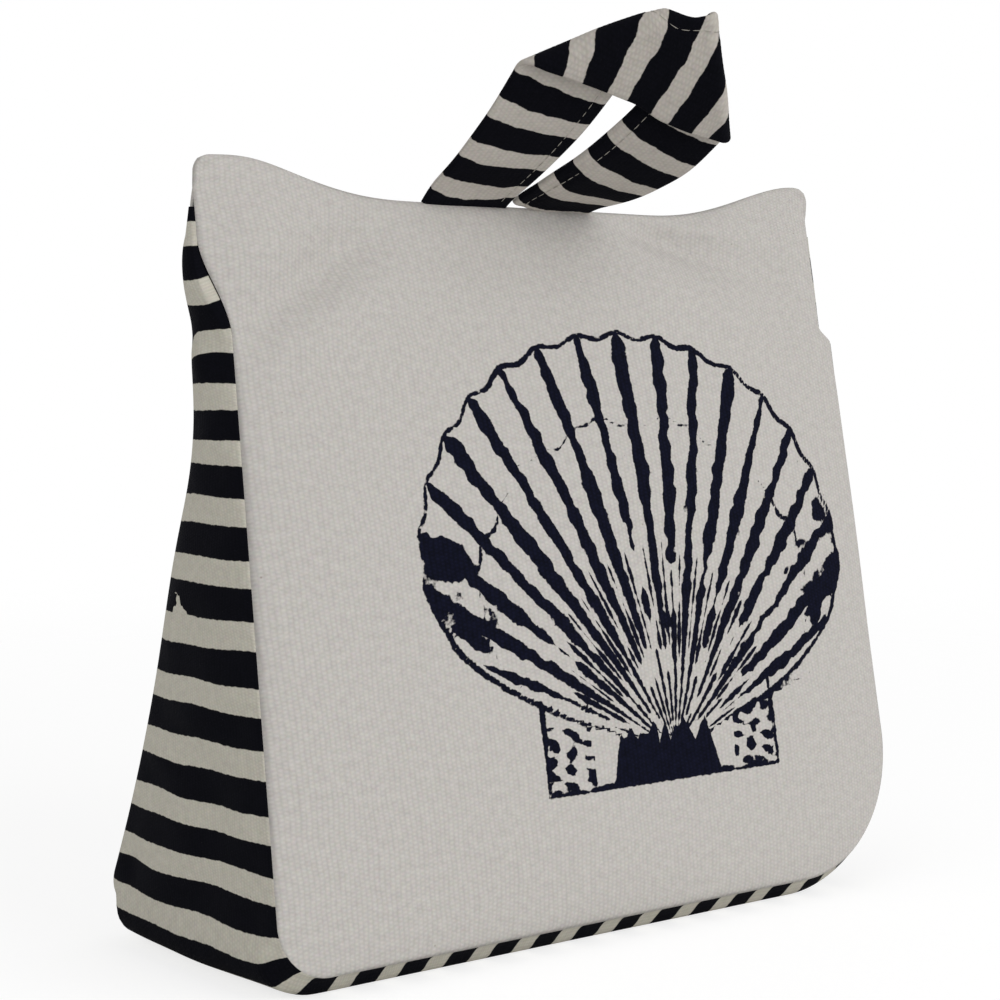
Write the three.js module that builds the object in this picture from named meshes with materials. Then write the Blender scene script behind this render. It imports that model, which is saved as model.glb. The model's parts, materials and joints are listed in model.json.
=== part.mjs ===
// Weighted fabric door stop: a stuffed canvas bag with a striped gusset and a folded carrying strap.
// Millimetres, +Z up, the front panel faces -Y, and the origin is on the floor under the bag's middle.
// Each piece of cloth is a flat pattern cut into small cells, which are then laid into place in space.

import * as THREE from 'three';

// Sizes of the bag
const PANEL_WIDTH = 256;
const PANEL_SLOPE = 236;
const BASE_DEPTH = 105;
const SEAM_LIFT = 7;
const CLOTH = 1;
const GAP = 0.3;

// Outline of the front and back panels, measured flat on the cloth
const TOP_SAG = 2.8;
const SEAT_HALF = 48;
const EAR_RISE = 13.4;
const EAR_RADIUS = 5.8;
const WAIST_DROP = 48;
const LEFT_SIDE = { sign: -1, foot: 5.5, lean: -0.059, flare: 9.6, span: 30, corner: 16 };
const RIGHT_SIDE = { sign: 1, foot: -2.1, lean: 0.039, flare: -5, span: 6, corner: 49 };

// How far the filling pushes the cloth out, and where it falls in
const FRONT_PUFF = 11;
const BACK_PUFF = 9;
const SIDE_PUFF = 4;
const CORNER_PUFF = 3;
const BACK_SLUMP = 0.3;
const CREASE_DEPTH = 3;
const CREASE_REACH = 45;
const CREASE_BREADTH = 13;
const PILLOW_EDGE = 0.5;

// Printed stripes of the gusset and the strap
const GUSSET_PITCH = 17;
const STRAP_PITCH = 16.2;
const STRIPE_DARK = 9.3;
const PRINT_RISE = 0.3;
const GUSSET_FIRST_STRIPE = -4.6;
const CORNER_DRAW = 8;
const GUSSET_TIP = 3.4;

// Scallop printed on the front panel
const SHELL_SHIFT = 19;
const SHELL_SIDE_MARGIN = 13;
const SHELL_FOOT = 38;
const SHELL_TOP_MARGIN = 46;
const SHELL_RIBS = 19;
const SHELL_SPREAD = 62;
const INK = 0.3;

// Carrying strap: one folded ribbon with two mitred turns, both feet side by side on the top seam
const STRAP_WIDTH = 34;
const STRAP_THICK = 2.4;
const STRAP_SHIFT = -10.5;
const STRAP_TURN_RADIUS = 2.6;
const STRAP_RISE_LEFT = 77.5;
const STRAP_RISE_RIGHT = 81.5;
const STRAP_SPREAD_LEFT = 3.6;
const STRAP_SPREAD_RIGHT = 6.2;
const STRAP_LEAN_FOOT = 67.5;
const STRAP_LEAN_TOP = 56.5;
const STRAP_TWIST = 6.3;
const STRAP_DRIFT = 7.5;
const STRAP_CLOSE = 0.15;
const STRAP_FOOT_SPACE = 1;
const STRAP_FIRST_STRIPE = -3.3;

// Weight and filling inside
const SAND_HEIGHT = 47;
const SAND_SHIFT = -9;
const SAND_SIDE_ROOM = 27;
const SAND_DEPTH_ROOM = 8;
const FILL_ROOM = 0.5;
const FILL_SIDE_ROOM = 4;
const FILL_TOP_ROOM = 16;

// Colours
const CANVAS = '#c6c2be';
const CREAM = '#c9c5b6';
const NAVY = '#15172a';
const SAND_CLOTH = '#b7a98c';
const FIBRE = '#ebe9e2';

const HALF = PANEL_WIDTH / 2;
const SLOPE_OUT = BASE_DEPTH / 2 / PANEL_SLOPE;
const SLOPE_UP = Math.sqrt(1 - SLOPE_OUT ** 2);
const TOP_MIDDLE = PANEL_SLOPE - TOP_SAG;
const EAR_TOP = TOP_MIDDLE + EAR_RISE;
const WAIST_AT = PANEL_SLOPE - WAIST_DROP;
const GUSSET_END = PANEL_SLOPE * (1 - GUSSET_TIP / BASE_DEPTH);

const clamp = THREE.MathUtils.clamp;
const degrees = THREE.MathUtils.degToRad;
const vec = (x, y, z) => new THREE.Vector3(x, y, z);
const mix = (a, b, t) => a.clone().lerp(b, t);
const smooth = (t) => THREE.MathUtils.smoothstep(t, 0, 1);
const range = (count) => Array.from({ length: count }, (_, i) => i);

// Drop of a rounded corner of the given radius, at a distance past the start of its arc
const roundOff = (radius, past) => radius - Math.sqrt(Math.max(0, radius ** 2 - clamp(past, 0, radius) ** 2));

function sideReach(side, up) {
  const at = Math.max(up, side.corner);
  return HALF + side.foot + side.lean * at + side.flare * smooth((at - WAIST_AT) / side.span);
}

// Distance of a side seam from the middle of the panel, at a height up the cloth
function sideSeam(side, up) {
  const cornerCut = roundOff(side.corner, side.corner - up);
  const earCut = roundOff(EAR_RADIUS, up - (EAR_TOP - EAR_RADIUS));
  return side.sign * (sideReach(side, up) - cornerCut - earCut);
}

const sideOf = (x) => (x < 0 ? LEFT_SIDE : RIGHT_SIDE);

function bottomSeam(x) {
  const side = sideOf(x);
  return roundOff(side.corner, Math.abs(x) - (sideReach(side, 0) - side.corner));
}

// The top seam is straight under the strap and climbs softly to an ear at each end
const EAR_CURVE = 1.36;

function topSeam(x) {
  const earStart = sideReach(sideOf(x), PANEL_SLOPE) - EAR_RADIUS;
  const climb = clamp((Math.abs(x) - SEAT_HALF) / (earStart - SEAT_HALF), 0, 1);
  return TOP_MIDDLE + EAR_RISE * smooth(climb ** EAR_CURVE) - roundOff(EAR_RADIUS, Math.abs(x) - earStart);
}

// Half of the bag's depth: the two panels lean together until they meet at the top seam
const halfDepth = (x, up) => (BASE_DEPTH / 2) * Math.max(0, 1 - up / Math.min(topSeam(x), PANEL_SLOPE));

// Share of the full stuffing at a point of a panel: nought on the seams, one in the middle
function pillow(x, up) {
  const left = sideSeam(LEFT_SIDE, up);
  const right = sideSeam(RIGHT_SIDE, up);
  const low = bottomSeam(x);
  const high = topSeam(x);
  const across = Math.max(0, (4 * (x - left) * (right - x)) / (right - left) ** 2);
  const along = Math.max(0, (4 * (up - low) * (high - up)) / (high - low) ** 2);
  return (across * along) ** PILLOW_EDGE;
}

// Creases that run in and slightly up from the waist on each side seam
const CREASE_SLANT = 0.25;

function creases(x, up) {
  return [LEFT_SIDE, RIGHT_SIDE].reduce((sum, side) => {
    const inward = Math.abs(sideSeam(side, WAIST_AT) - x);
    const off = up - WAIST_AT - CREASE_SLANT * inward;
    return sum + Math.exp(-((off / CREASE_BREADTH) ** 2)) * Math.exp(-((inward / CREASE_REACH) ** 2));
  }, 0);
}

// Distance from the middle plane to a panel's seams and chords; the back one slumps inwards
function panelDepth(facing, x, up) {
  const slump = facing < 0 ? 0 : BACK_SLUMP * Math.sin((Math.PI * clamp(up, 0, PANEL_SLOPE)) / PANEL_SLOPE);
  return halfDepth(x, up) * (1 - slump);
}

// Point of a panel's outer face; facing is -1 for the front panel and 1 for the back panel
function panelPoint(facing, x, up, lift = 0) {
  const full = facing < 0 ? FRONT_PUFF : BACK_PUFF;
  const push = (full - CREASE_DEPTH * creases(x, up)) * pillow(x, up) + lift;
  const y = panelDepth(facing, x, up) + push * SLOPE_UP;
  return vec(x, facing * y, SEAM_LIFT + up * SLOPE_UP + push * SLOPE_OUT);
}

// Unit normal of a panel's outer face, from two short steps along it
function panelNormal(facing, x, up) {
  const step = 1;
  const across = panelPoint(facing, x + step, up).sub(panelPoint(facing, x - step, up));
  const along = panelPoint(facing, x, up + step).sub(panelPoint(facing, x, up - step));
  return across.cross(along).normalize().multiplyScalar(-facing);
}

// Stations along the seams, the same for every piece that meets there
const SIDE_STEPS = 15;
const BASE_STEPS = 18;
const CORNER = Math.SQRT1_2;

function sideStations(side) {
  const low = side.corner * (1 - CORNER);
  const gussetPart = range(SIDE_STEPS).map((i) => low + ((GUSSET_END - low) * i) / (SIDE_STEPS - 1));
  const ups = [...gussetPart, GUSSET_END + CLOTH + 2 * GAP, EAR_TOP - EAR_RADIUS * (1 - CORNER)];
  return ups.map((up) => ({ x: sideSeam(side, up), up, closed: up > GUSSET_END }));
}

function rowStations(start, end, seam, closed) {
  return range(BASE_STEPS + 1).map((i) => {
    const x = start + ((end - start) * i) / BASE_STEPS;
    return { x, up: seam(x), closed };
  });
}

const leftRun = sideStations(LEFT_SIDE);
const rightRun = sideStations(RIGHT_SIDE);
const baseRun = rowStations(leftRun[0].x, rightRun[0].x, bottomSeam, false);
const topRun = rowStations(leftRun.at(-1).x, rightRun.at(-1).x, topSeam, true);
[baseRun[0], topRun[0]] = [leftRun[0], leftRun.at(-1)];
[baseRun[BASE_STEPS], topRun[BASE_STEPS]] = [rightRun[0], rightRun.at(-1)];

const seamPoint = (facing, st) => {
  const y = st.closed ? 0 : panelDepth(facing, st.x, st.up);
  return vec(st.x, facing * y, SEAM_LIFT + st.up * SLOPE_UP);
};

// The gusset follows the side and base stations from one ear round to the other
const gussetRun = [
  ...leftRun.slice(0, SIDE_STEPS).reverse(), ...baseRun.slice(1, -1), ...rightRun.slice(0, SIDE_STEPS),
];

// Direction out of the bag in the plane of the gusset's own run
function outward(index) {
  const before = gussetRun[Math.max(0, index - 1)];
  const after = gussetRun[Math.min(gussetRun.length - 1, index + 1)];
  const along = vec(after.x - before.x, 0, (after.up - before.up) * SLOPE_UP).normalize();
  return vec(along.z, 0, -along.x);
}

// Inner corner of two sheets that meet at a seam, and the small shift that keeps them apart
function mitre(seam, along, towardsA, towardsB) {
  const flatA = towardsA.clone().addScaledVector(along, -towardsA.dot(along)).normalize();
  const flatB = towardsB.clone().addScaledVector(along, -towardsB.dot(along)).normalize();
  const inward = flatA.clone().add(flatB).normalize();
  const apart = flatA.clone().addScaledVector(inward, -flatA.dot(inward));
  const sine = apart.length();
  const shift = apart.normalize().multiplyScalar(GAP / 2);
  return { inner: seam.clone().addScaledVector(inward, CLOTH / sine), shift };
}

// Cross-section of the gusset at each station: its outer and inner points from front seam to back
// seam. Towards the narrow tip the inner points close up to one straight line.
const GUSSET_SHARES = [0, 0.09, 0.35, 0.65, 0.91, 1];
const FLAT_SHARE = 0.09;
const PROBE = 8;
const TIP_BLEND = 12;
const BULGE_UP = 0.6;
const BULGE_ACROSS = 0.7;

function gussetSkin(index, share) {
  const st = gussetRun[index];
  const out = outward(index);
  const base = clamp(-out.z, 0, 1);
  const height = clamp(st.up / PANEL_SLOPE, 0, 1);
  const bulge = Math.sin(Math.PI * height) ** BULGE_UP * (4 * share * (1 - share)) ** BULGE_ACROSS;
  const basePush = SEAM_LIFT * smooth(Math.min(share, 1 - share) / FLAT_SHARE);
  const turning = 2 * base * Math.sqrt(1 - base ** 2);
  const cornerPush = CORNER_PUFF * turning ** 4 * Math.sqrt(4 * share * (1 - share));
  const push = (1 - base) * SIDE_PUFF * bulge + base * basePush + cornerPush;
  return mix(seamPoint(-1, st), seamPoint(1, st), share).addScaledVector(out, push);
}

function alongRun(run, index) {
  const before = seamPoint(-1, run[Math.max(0, index - 1)]);
  return seamPoint(-1, run[Math.min(run.length - 1, index + 1)]).sub(before).normalize();
}

// Direction from a seam station into a panel
function intoPanel(facing, st, inward) {
  const probe = panelPoint(facing, st.x + inward.x * PROBE, st.up + inward.z * PROBE);
  return probe.sub(seamPoint(facing, st)).normalize();
}

function gussetSection(index) {
  const st = gussetRun[index];
  const inward = outward(index).negate();
  const along = alongRun(gussetRun, index);
  const outer = GUSSET_SHARES.map((share) => gussetSkin(index, share));
  const inner = outer.map((point, i) => {
    const across = outer[Math.min(i + 1, outer.length - 1)].clone().sub(outer[Math.max(i - 1, 0)]);
    const normal = across.cross(along).normalize();
    return point.clone().addScaledVector(normal, -CLOTH);
  });
  const tipShare = 1 - smooth(outer[0].distanceTo(outer.at(-1)) / TIP_BLEND);
  const last = outer.length - 1;
  const front = mitre(outer[0], along, intoPanel(-1, st, inward), outer[1].clone().sub(outer[0]));
  const back = mitre(outer[last], along, intoPanel(1, st, inward), outer[last - 1].clone().sub(outer[last]));
  const panelEdges = {
    '-1': { outer: outer[0].clone().add(front.shift), inner: front.inner.clone().add(front.shift) },
    1: { outer: outer[last].clone().add(back.shift), inner: back.inner.clone().add(back.shift) },
  };
  [inner[0], inner[last]] = [front.inner.sub(front.shift), back.inner.sub(back.shift)];
  GUSSET_SHARES.forEach((share, i) => inner[i].lerp(mix(inner[0], inner[last], share), tipShare));
  [outer[0], outer[last]] = [outer[0].clone().sub(front.shift), outer[last].clone().sub(back.shift)];
  return { outer, inner, panelEdges };
}

const gussetSections = gussetRun.map((_, index) => gussetSection(index));

// Edge of a panel where it meets the other panel, along the top seam and round the ears
const EAR_TURN = 15;

function topEdge(facing, st) {
  const sideways = clamp(st.x / HALF, -1, 1) ** EAR_TURN;
  const inward = vec(-sideways, 0, -1).normalize();
  const seam = seamPoint(facing, st);
  const along = vec(inward.z, 0, -inward.x).negate();
  const join = mitre(seam, along, intoPanel(facing, st, inward), intoPanel(-facing, st, inward));
  return { outer: seam.clone().add(join.shift), inner: join.inner.add(join.shift) };
}

let nodeCount = 0;
function clothNode(outer, inner, raised = outer) {
  nodeCount += 1;
  return { id: nodeCount, outer, inner, raised };
}

// Cells of a grid of nodes, as rings of four
function gridCells(grid, keep = () => true, isPrinted = () => false) {
  const cells = [];
  range(grid.length - 1).forEach((j) => range(grid[j].length - 1).forEach((i) => {
    if (!keep(j, i)) return;
    const ring = [grid[j][i], grid[j][i + 1], grid[j + 1][i + 1], grid[j + 1][i]];
    cells.push({ ring, printed: isPrinted(j, i) });
  }));
  return cells;
}

// Closed solid from cells of cloth. Every cell has an outer and an inner face, an edge without a
// neighbour is closed by a wall, and a printed cell stands a little proud of a plain one.
function clothSolid(name, cells, colours) {
  const corners = [];
  const tones = [];
  const fan = (points, colour) => {
    range(points.length - 2).forEach((k) => {
      const [a, b, c] = [points[0], points[k + 1], points[k + 2]];
      if (b.clone().sub(a).cross(c.clone().sub(a)).length() < 1e-6) return;
      corners.push(...a, ...b, ...c);
      tones.push(...colour, ...colour, ...colour);
    });
  };
  const owners = new Map();
  cells.forEach((cell) => cell.ring.forEach((node, k) => {
    owners.set(`${node.id}>${cell.ring[(k + 1) % cell.ring.length].id}`, cell);
  }));
  cells.forEach(({ ring, printed }) => {
    const colour = new THREE.Color(printed ? colours.print : colours.ground).toArray();
    fan(ring.map((node) => (printed ? node.raised : node.outer)), colour);
    fan(ring.map((node) => node.inner).reverse(), colour);
    ring.forEach((node, k) => {
      const next = ring[(k + 1) % ring.length];
      const neighbour = owners.get(`${next.id}>${node.id}`);
      if (!neighbour) fan([next.outer, node.outer, node.inner, next.inner], colour);
      if (printed && !neighbour?.printed) fan([next.raised, node.raised, node.outer, next.outer], colour);
    });
  });
  const geometry = new THREE.BufferGeometry();
  geometry.setAttribute('position', new THREE.Float32BufferAttribute(corners, 3));
  geometry.setAttribute('color', new THREE.Float32BufferAttribute(tones, 3));
  geometry.computeVertexNormals();
  const material = new THREE.MeshStandardMaterial({ vertexColors: true, roughness: 0.92 });
  const mesh = new THREE.Mesh(geometry, material);
  mesh.name = name;
  return mesh;
}

// Flat place of a panel's grid point, spread evenly between its four runs of stations
function flatPoint(j, i) {
  const rows = leftRun.length - 1;
  const u = i / BASE_STEPS;
  const v = (leftRun[j].up - leftRun[0].up) / (leftRun[rows].up - leftRun[0].up);
  return ['x', 'up'].map((name) => {
    const across = leftRun[j][name] * (1 - u) + rightRun[j][name] * u;
    const along = baseRun[i][name] * (1 - v) + topRun[i][name] * v;
    const low = leftRun[0][name] * (1 - u) + rightRun[0][name] * u;
    const high = leftRun[rows][name] * (1 - u) + rightRun[rows][name] * u;
    return across + along - low * (1 - v) - high * v;
  });
}

// A panel, laid on its grid of flat places
function panelCells(facing) {
  const edges = new Map();
  gussetRun.forEach((st, i) => edges.set(st, gussetSections[i].panelEdges[facing]));
  const joined = [...leftRun, ...rightRun, ...topRun].filter((st) => st.closed);
  joined.forEach((st) => edges.set(st, topEdge(facing, st)));
  const rows = leftRun.length - 1;
  const station = (j, i) => {
    if (i === 0) return leftRun[j];
    if (i === BASE_STEPS) return rightRun[j];
    if (j === 0) return baseRun[i];
    return j === rows ? topRun[i] : null;
  };
  const grid = range(rows + 1).map((j) => range(BASE_STEPS + 1).map((i) => {
    const edge = edges.get(station(j, i));
    if (edge) return clothNode(edge.outer, edge.inner);
    const [x, up] = flatPoint(j, i);
    const outer = panelPoint(facing, x, up);
    return clothNode(outer, outer.clone().addScaledVector(panelNormal(facing, x, up), -CLOTH));
  }));
  return gridCells(facing < 0 ? grid : grid.map((row) => [...row].reverse()));
}

// Dark stripes along a strip of cloth, as pairs of a start and an end
function darkStripes(first, pitch, length, drawn = (at) => at) {
  const count = Math.ceil((length - first) / pitch);
  return range(count).map((k) => [drawn(first + k * pitch), drawn(first + k * pitch + STRIPE_DARK)]);
}

const isDark = (stripes, at) => stripes.some(([start, end]) => at > start && at < end);

// Ends of the stripes that are clear of the two ends of the cloth
const END_MARGIN = 0.5;

function stripeEnds(stripes, length) {
  return stripes.flat().filter((at) => at > END_MARGIN && at < length - END_MARGIN);
}

// The gusset was drawn down into the left foot corner as it was sewn, and its stripes went with it.
// The shares of the side say where the draw begins, is full, begins to fade and is over.
const DRAW_SHARES = { begins: 0.32, full: 0.81, fades: 0.87, over: 1.02 };

function drawnDown(at) {
  const { begins, full, fades, over } = DRAW_SHARES;
  const side = at / PANEL_SLOPE;
  const grown = smooth((side - begins) / (full - begins));
  const faded = smooth((side - fades) / (over - fades));
  return at + CORNER_DRAW * grown * (1 - faded);
}

function gussetCells() {
  const reach = [0];
  gussetRun.slice(1).forEach((st, i) => {
    reach.push(reach[i] + Math.hypot(st.x - gussetRun[i].x, st.up - gussetRun[i].up));
  });
  const length = reach.at(-1);
  const stripes = darkStripes(GUSSET_FIRST_STRIPE, GUSSET_PITCH, length, drawnDown);
  const ends = stripeEnds(stripes, length);
  const clear = reach.filter((at) => ends.every((end) => Math.abs(end - at) > 0.2));
  const rows = [...clear, ...ends].sort((a, b) => a - b);
  const grid = rows.map((at) => {
    const k = clamp(reach.findLastIndex((start) => start <= at), 0, reach.length - 2);
    const share = (at - reach[k]) / (reach[k + 1] - reach[k]);
    const [from, to] = [gussetSections[k], gussetSections[k + 1]];
    const out = mix(outward(k), outward(k + 1), share);
    const rise = -out.z > 0.5 ? 0 : PRINT_RISE;
    return GUSSET_SHARES.map((_, c) => {
      const outer = mix(from.outer[c], to.outer[c], share);
      const inner = mix(from.inner[c], to.inner[c], share);
      return clothNode(outer, inner, outer.clone().addScaledVector(out, rise));
    });
  });
  const middle = (j) => (rows[j] + rows[j + 1]) / 2;
  return gridCells(grid, () => true, (j) => isDark(stripes, middle(j)));
}

// The strap lies folded flat first: up from one foot, over a turn, along the top, over a second turn
// and down to the other foot. Places in it are [sideways, rise] pairs.
const FOOT_AT = (STRAP_WIDTH + STRAP_FOOT_SPACE) / 2;
const strapPath = [
  new THREE.Vector2(-FOOT_AT, 0),
  new THREE.Vector2(-FOOT_AT - STRAP_SPREAD_LEFT, STRAP_RISE_LEFT),
  new THREE.Vector2(FOOT_AT + STRAP_SPREAD_RIGHT, STRAP_RISE_RIGHT),
  new THREE.Vector2(FOOT_AT, 0),
];
const strapLegs = range(3).map((k) => {
  const way = strapPath[k + 1].clone().sub(strapPath[k]);
  return { from: strapPath[k], length: way.length(), way: way.normalize() };
});
const strapStarts = [0, strapLegs[0].length, strapLegs[0].length + strapLegs[1].length];
const STRAP_LENGTH = strapStarts[2] + strapLegs[2].length;
const TURN_HALF = (Math.PI * STRAP_TURN_RADIUS) / 2;

// The crease of a turn halves the angle between the legs on its two sides
const strapTurns = range(2).map((k) => {
  const crease = strapLegs[k].way.clone().add(strapLegs[k + 1].way).normalize();
  const past = new THREE.Vector2(-crease.y, crease.x);
  return { at: strapPath[k + 1], crease, past: past.multiplyScalar(Math.sign(past.dot(strapLegs[k].way))) };
});

// Place of a point of the ribbon as if the given leg ran on without a turn
function onLeg(k, along, across) {
  const leg = strapLegs[k];
  const side = new THREE.Vector2(leg.way.y, -leg.way.x).multiplyScalar(k === 1 ? -across : across);
  return leg.from.clone().addScaledVector(leg.way, along - strapStarts[k]).add(side);
}

function foldedStrap(along, across) {
  const overTurn = range(2).map((k) => onLeg(k, along, across).sub(strapTurns[k].at).dot(strapTurns[k].past));
  for (const k of [0, 1]) {
    if (Math.abs(overTurn[k]) < TURN_HALF) {
      const { at, crease, past } = strapTurns[k];
      const angle = (overTurn[k] + TURN_HALF) / STRAP_TURN_RADIUS;
      const alongCrease = onLeg(k, along, across).sub(at).dot(crease);
      const place = at.clone().addScaledVector(crease, alongCrease);
      place.addScaledVector(past, STRAP_TURN_RADIUS * Math.sin(angle) - TURN_HALF);
      const turned = STRAP_TURN_RADIUS * (1 - Math.cos(angle));
      return { place, layer: k === 0 ? turned : 2 * STRAP_TURN_RADIUS - turned };
    }
  }
  const k = overTurn.filter((past) => past > 0).length;
  return { place: onLeg(k, along, across), layer: k === 1 ? 2 * STRAP_TURN_RADIUS : 0 };
}

// Then the folded strap leans forwards over the front panel, one side further than the other
const STRAP_RISE = (STRAP_RISE_LEFT + STRAP_RISE_RIGHT) / 2;
const STRAP_FOOT_LIFT = (STRAP_THICK / 2) * Math.sin(degrees(STRAP_LEAN_FOOT));
const STRAP_SEAT = SEAM_LIFT + TOP_MIDDLE * SLOPE_UP + GAP + STRAP_FOOT_LIFT;

function strapMiddle(along, across) {
  const { place, layer } = foldedStrap(along, across);
  const [sideways, rise] = [place.x, place.y];
  const share = rise / STRAP_RISE;
  const twist = (STRAP_TWIST * sideways) / FOOT_AT;
  const lean = degrees(STRAP_LEAN_FOOT + (STRAP_LEAN_TOP - STRAP_LEAN_FOOT) * share + twist);
  const x = STRAP_SHIFT + sideways * (1 - STRAP_CLOSE * share) + STRAP_DRIFT * share;
  const y = -rise * Math.sin(lean) - layer * Math.cos(lean);
  return vec(x, y, STRAP_SEAT + rise * Math.cos(lean) - layer * Math.sin(lean));
}

function strapNode(along, across) {
  const step = 0.2;
  const middle = strapMiddle(along, across);
  const alongWay = strapMiddle(along + step, across).sub(strapMiddle(along - step, across));
  const acrossWay = strapMiddle(along, across + step).sub(strapMiddle(along, across - step));
  const normal = alongWay.cross(acrossWay).normalize();
  const face = (lift) => middle.clone().addScaledVector(normal, lift);
  const half = STRAP_THICK / 2;
  return clothNode(face(half - PRINT_RISE), face(-half), face(half));
}

// Cut flat cells along a straight line; cells are rings of [along, across] points
function cutCells(rings, at, past) {
  const snap = 0.05;
  const off = (point) => {
    const distance = new THREE.Vector2(...point).sub(at).dot(past);
    return Math.abs(distance) < snap ? 0 : distance;
  };
  return rings.flatMap((ring) => {
    const sides = ring.map(off);
    if (sides.every((d) => d >= 0) || sides.every((d) => d <= 0)) return [ring];
    const halves = [[], []];
    ring.forEach((point, k) => {
      const next = ring[(k + 1) % ring.length];
      const [d, e] = [sides[k], sides[(k + 1) % ring.length]];
      if (d >= 0) halves[0].push(point);
      if (d <= 0) halves[1].push(point);
      if (d * e >= 0) return;
      const share = d / (d - e);
      const cut = [point[0] + (next[0] - point[0]) * share, point[1] + (next[1] - point[1]) * share];
      halves.forEach((half) => half.push(cut));
    });
    return halves;
  });
}

const TURN_FACETS = 6;

function strapCells() {
  const spare = STRAP_WIDTH / 10;
  const stripes = darkStripes(STRAP_FIRST_STRIPE, STRAP_PITCH, STRAP_LENGTH);
  const ends = [-spare, ...stripeEnds(stripes, STRAP_LENGTH), STRAP_LENGTH + spare];
  const half = STRAP_WIDTH / 2;
  const trim = (rings, k) => {
    const side = strapLegs[k].way.x / strapLegs[k].way.y;
    const foot = new THREE.Vector2(k === 0 ? 0 : STRAP_LENGTH, 0);
    const past = new THREE.Vector2(k === 0 ? 1 : -1, k === 0 ? -side : side).normalize();
    const isKept = (ring) => ring.some((point) => new THREE.Vector2(...point).sub(foot).dot(past) > 0.1);
    return cutCells(rings, foot, past).filter(isKept);
  };
  let rings = ends.slice(1).flatMap((to, k) => [[-half, 0], [0, half]].map(([low, high]) => (
    [[ends[k], low], [to, low], [to, high], [ends[k], high]]
  )));
  strapTurns.forEach((turn, k) => {
    const leg = strapLegs[k];
    const side = new THREE.Vector2(leg.way.y, -leg.way.x).multiplyScalar(k === 1 ? -1 : 1);
    const past = new THREE.Vector2(turn.past.dot(leg.way), turn.past.dot(side));
    range(TURN_FACETS + 1).forEach((f) => {
      const off = TURN_HALF * ((2 * f) / TURN_FACETS - 1);
      const at = new THREE.Vector2(strapStarts[k + 1], 0).addScaledVector(past, off);
      rings = cutCells(rings, at, past);
    });
  });
  rings = trim(trim(rings, 0), 2);
  const nodes = new Map();
  const nodeAt = ([along, across]) => {
    const key = `${Math.round(along * 100)},${Math.round(across * 100)}`;
    if (!nodes.has(key)) nodes.set(key, strapNode(along, across));
    return nodes.get(key);
  };
  return rings.map((ring) => {
    const middle = ring.reduce((sum, point) => sum + point[0], 0) / ring.length;
    return { ring: ring.map(nodeAt), printed: isDark(stripes, middle) };
  });
}

// Scallop: ribs that fan out from a hinge block to a scalloped rim, with an ear on each side
const SHELL_HALF = HALF - SHELL_SHIFT - SHELL_SIDE_MARGIN;
const SHELL_HEIGHT = PANEL_SLOPE - SHELL_FOOT - SHELL_TOP_MARGIN;
const SHELL_LINE = 2.6;
const SHELL_HINGE = SHELL_HALF * 0.27;
const SHELL_HINGE_FOOT = SHELL_HALF * 0.31;
const SHELL_EAR = SHELL_HALF * 0.53;
const SHELL_EAR_HEIGHT = SHELL_HEIGHT * 0.175;
const SHELL_REACH = SHELL_HEIGHT * 0.94;
const SHELL_ROUND = 0.18;
const SHELL_SHOULDER = 0.06;
const SHELL_BREADTH = 0.71;
const SHELL_ROWS = [0, 0.1, 0.2, 0.32, 0.44, 0.56, 0.68, 0.76, 0.78, 0.88, 0.975, 1];
const SHELL_GROWTH_ROW = 7;

// Rim of the fan at a share of its spread from -1 to 1
function shellRim(share) {
  const angle = degrees(SHELL_SPREAD * share);
  const radius = SHELL_REACH * (1 - SHELL_ROUND * share ** 4 - SHELL_SHOULDER * share ** 12);
  const sideways = (radius * Math.sin(angle) * SHELL_HALF) / (SHELL_REACH * SHELL_BREADTH);
  return [SHELL_SHIFT + sideways, SHELL_FOOT + SHELL_HEIGHT - SHELL_REACH + radius * Math.cos(angle)];
}

// Breadth of a dark rib as a share of its spacing: full at the hinge, about two fifths at the rim
const ribBreadth = (row) => 0.4 + 0.4 * (1 - SHELL_ROWS[row]) ** 2;

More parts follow.
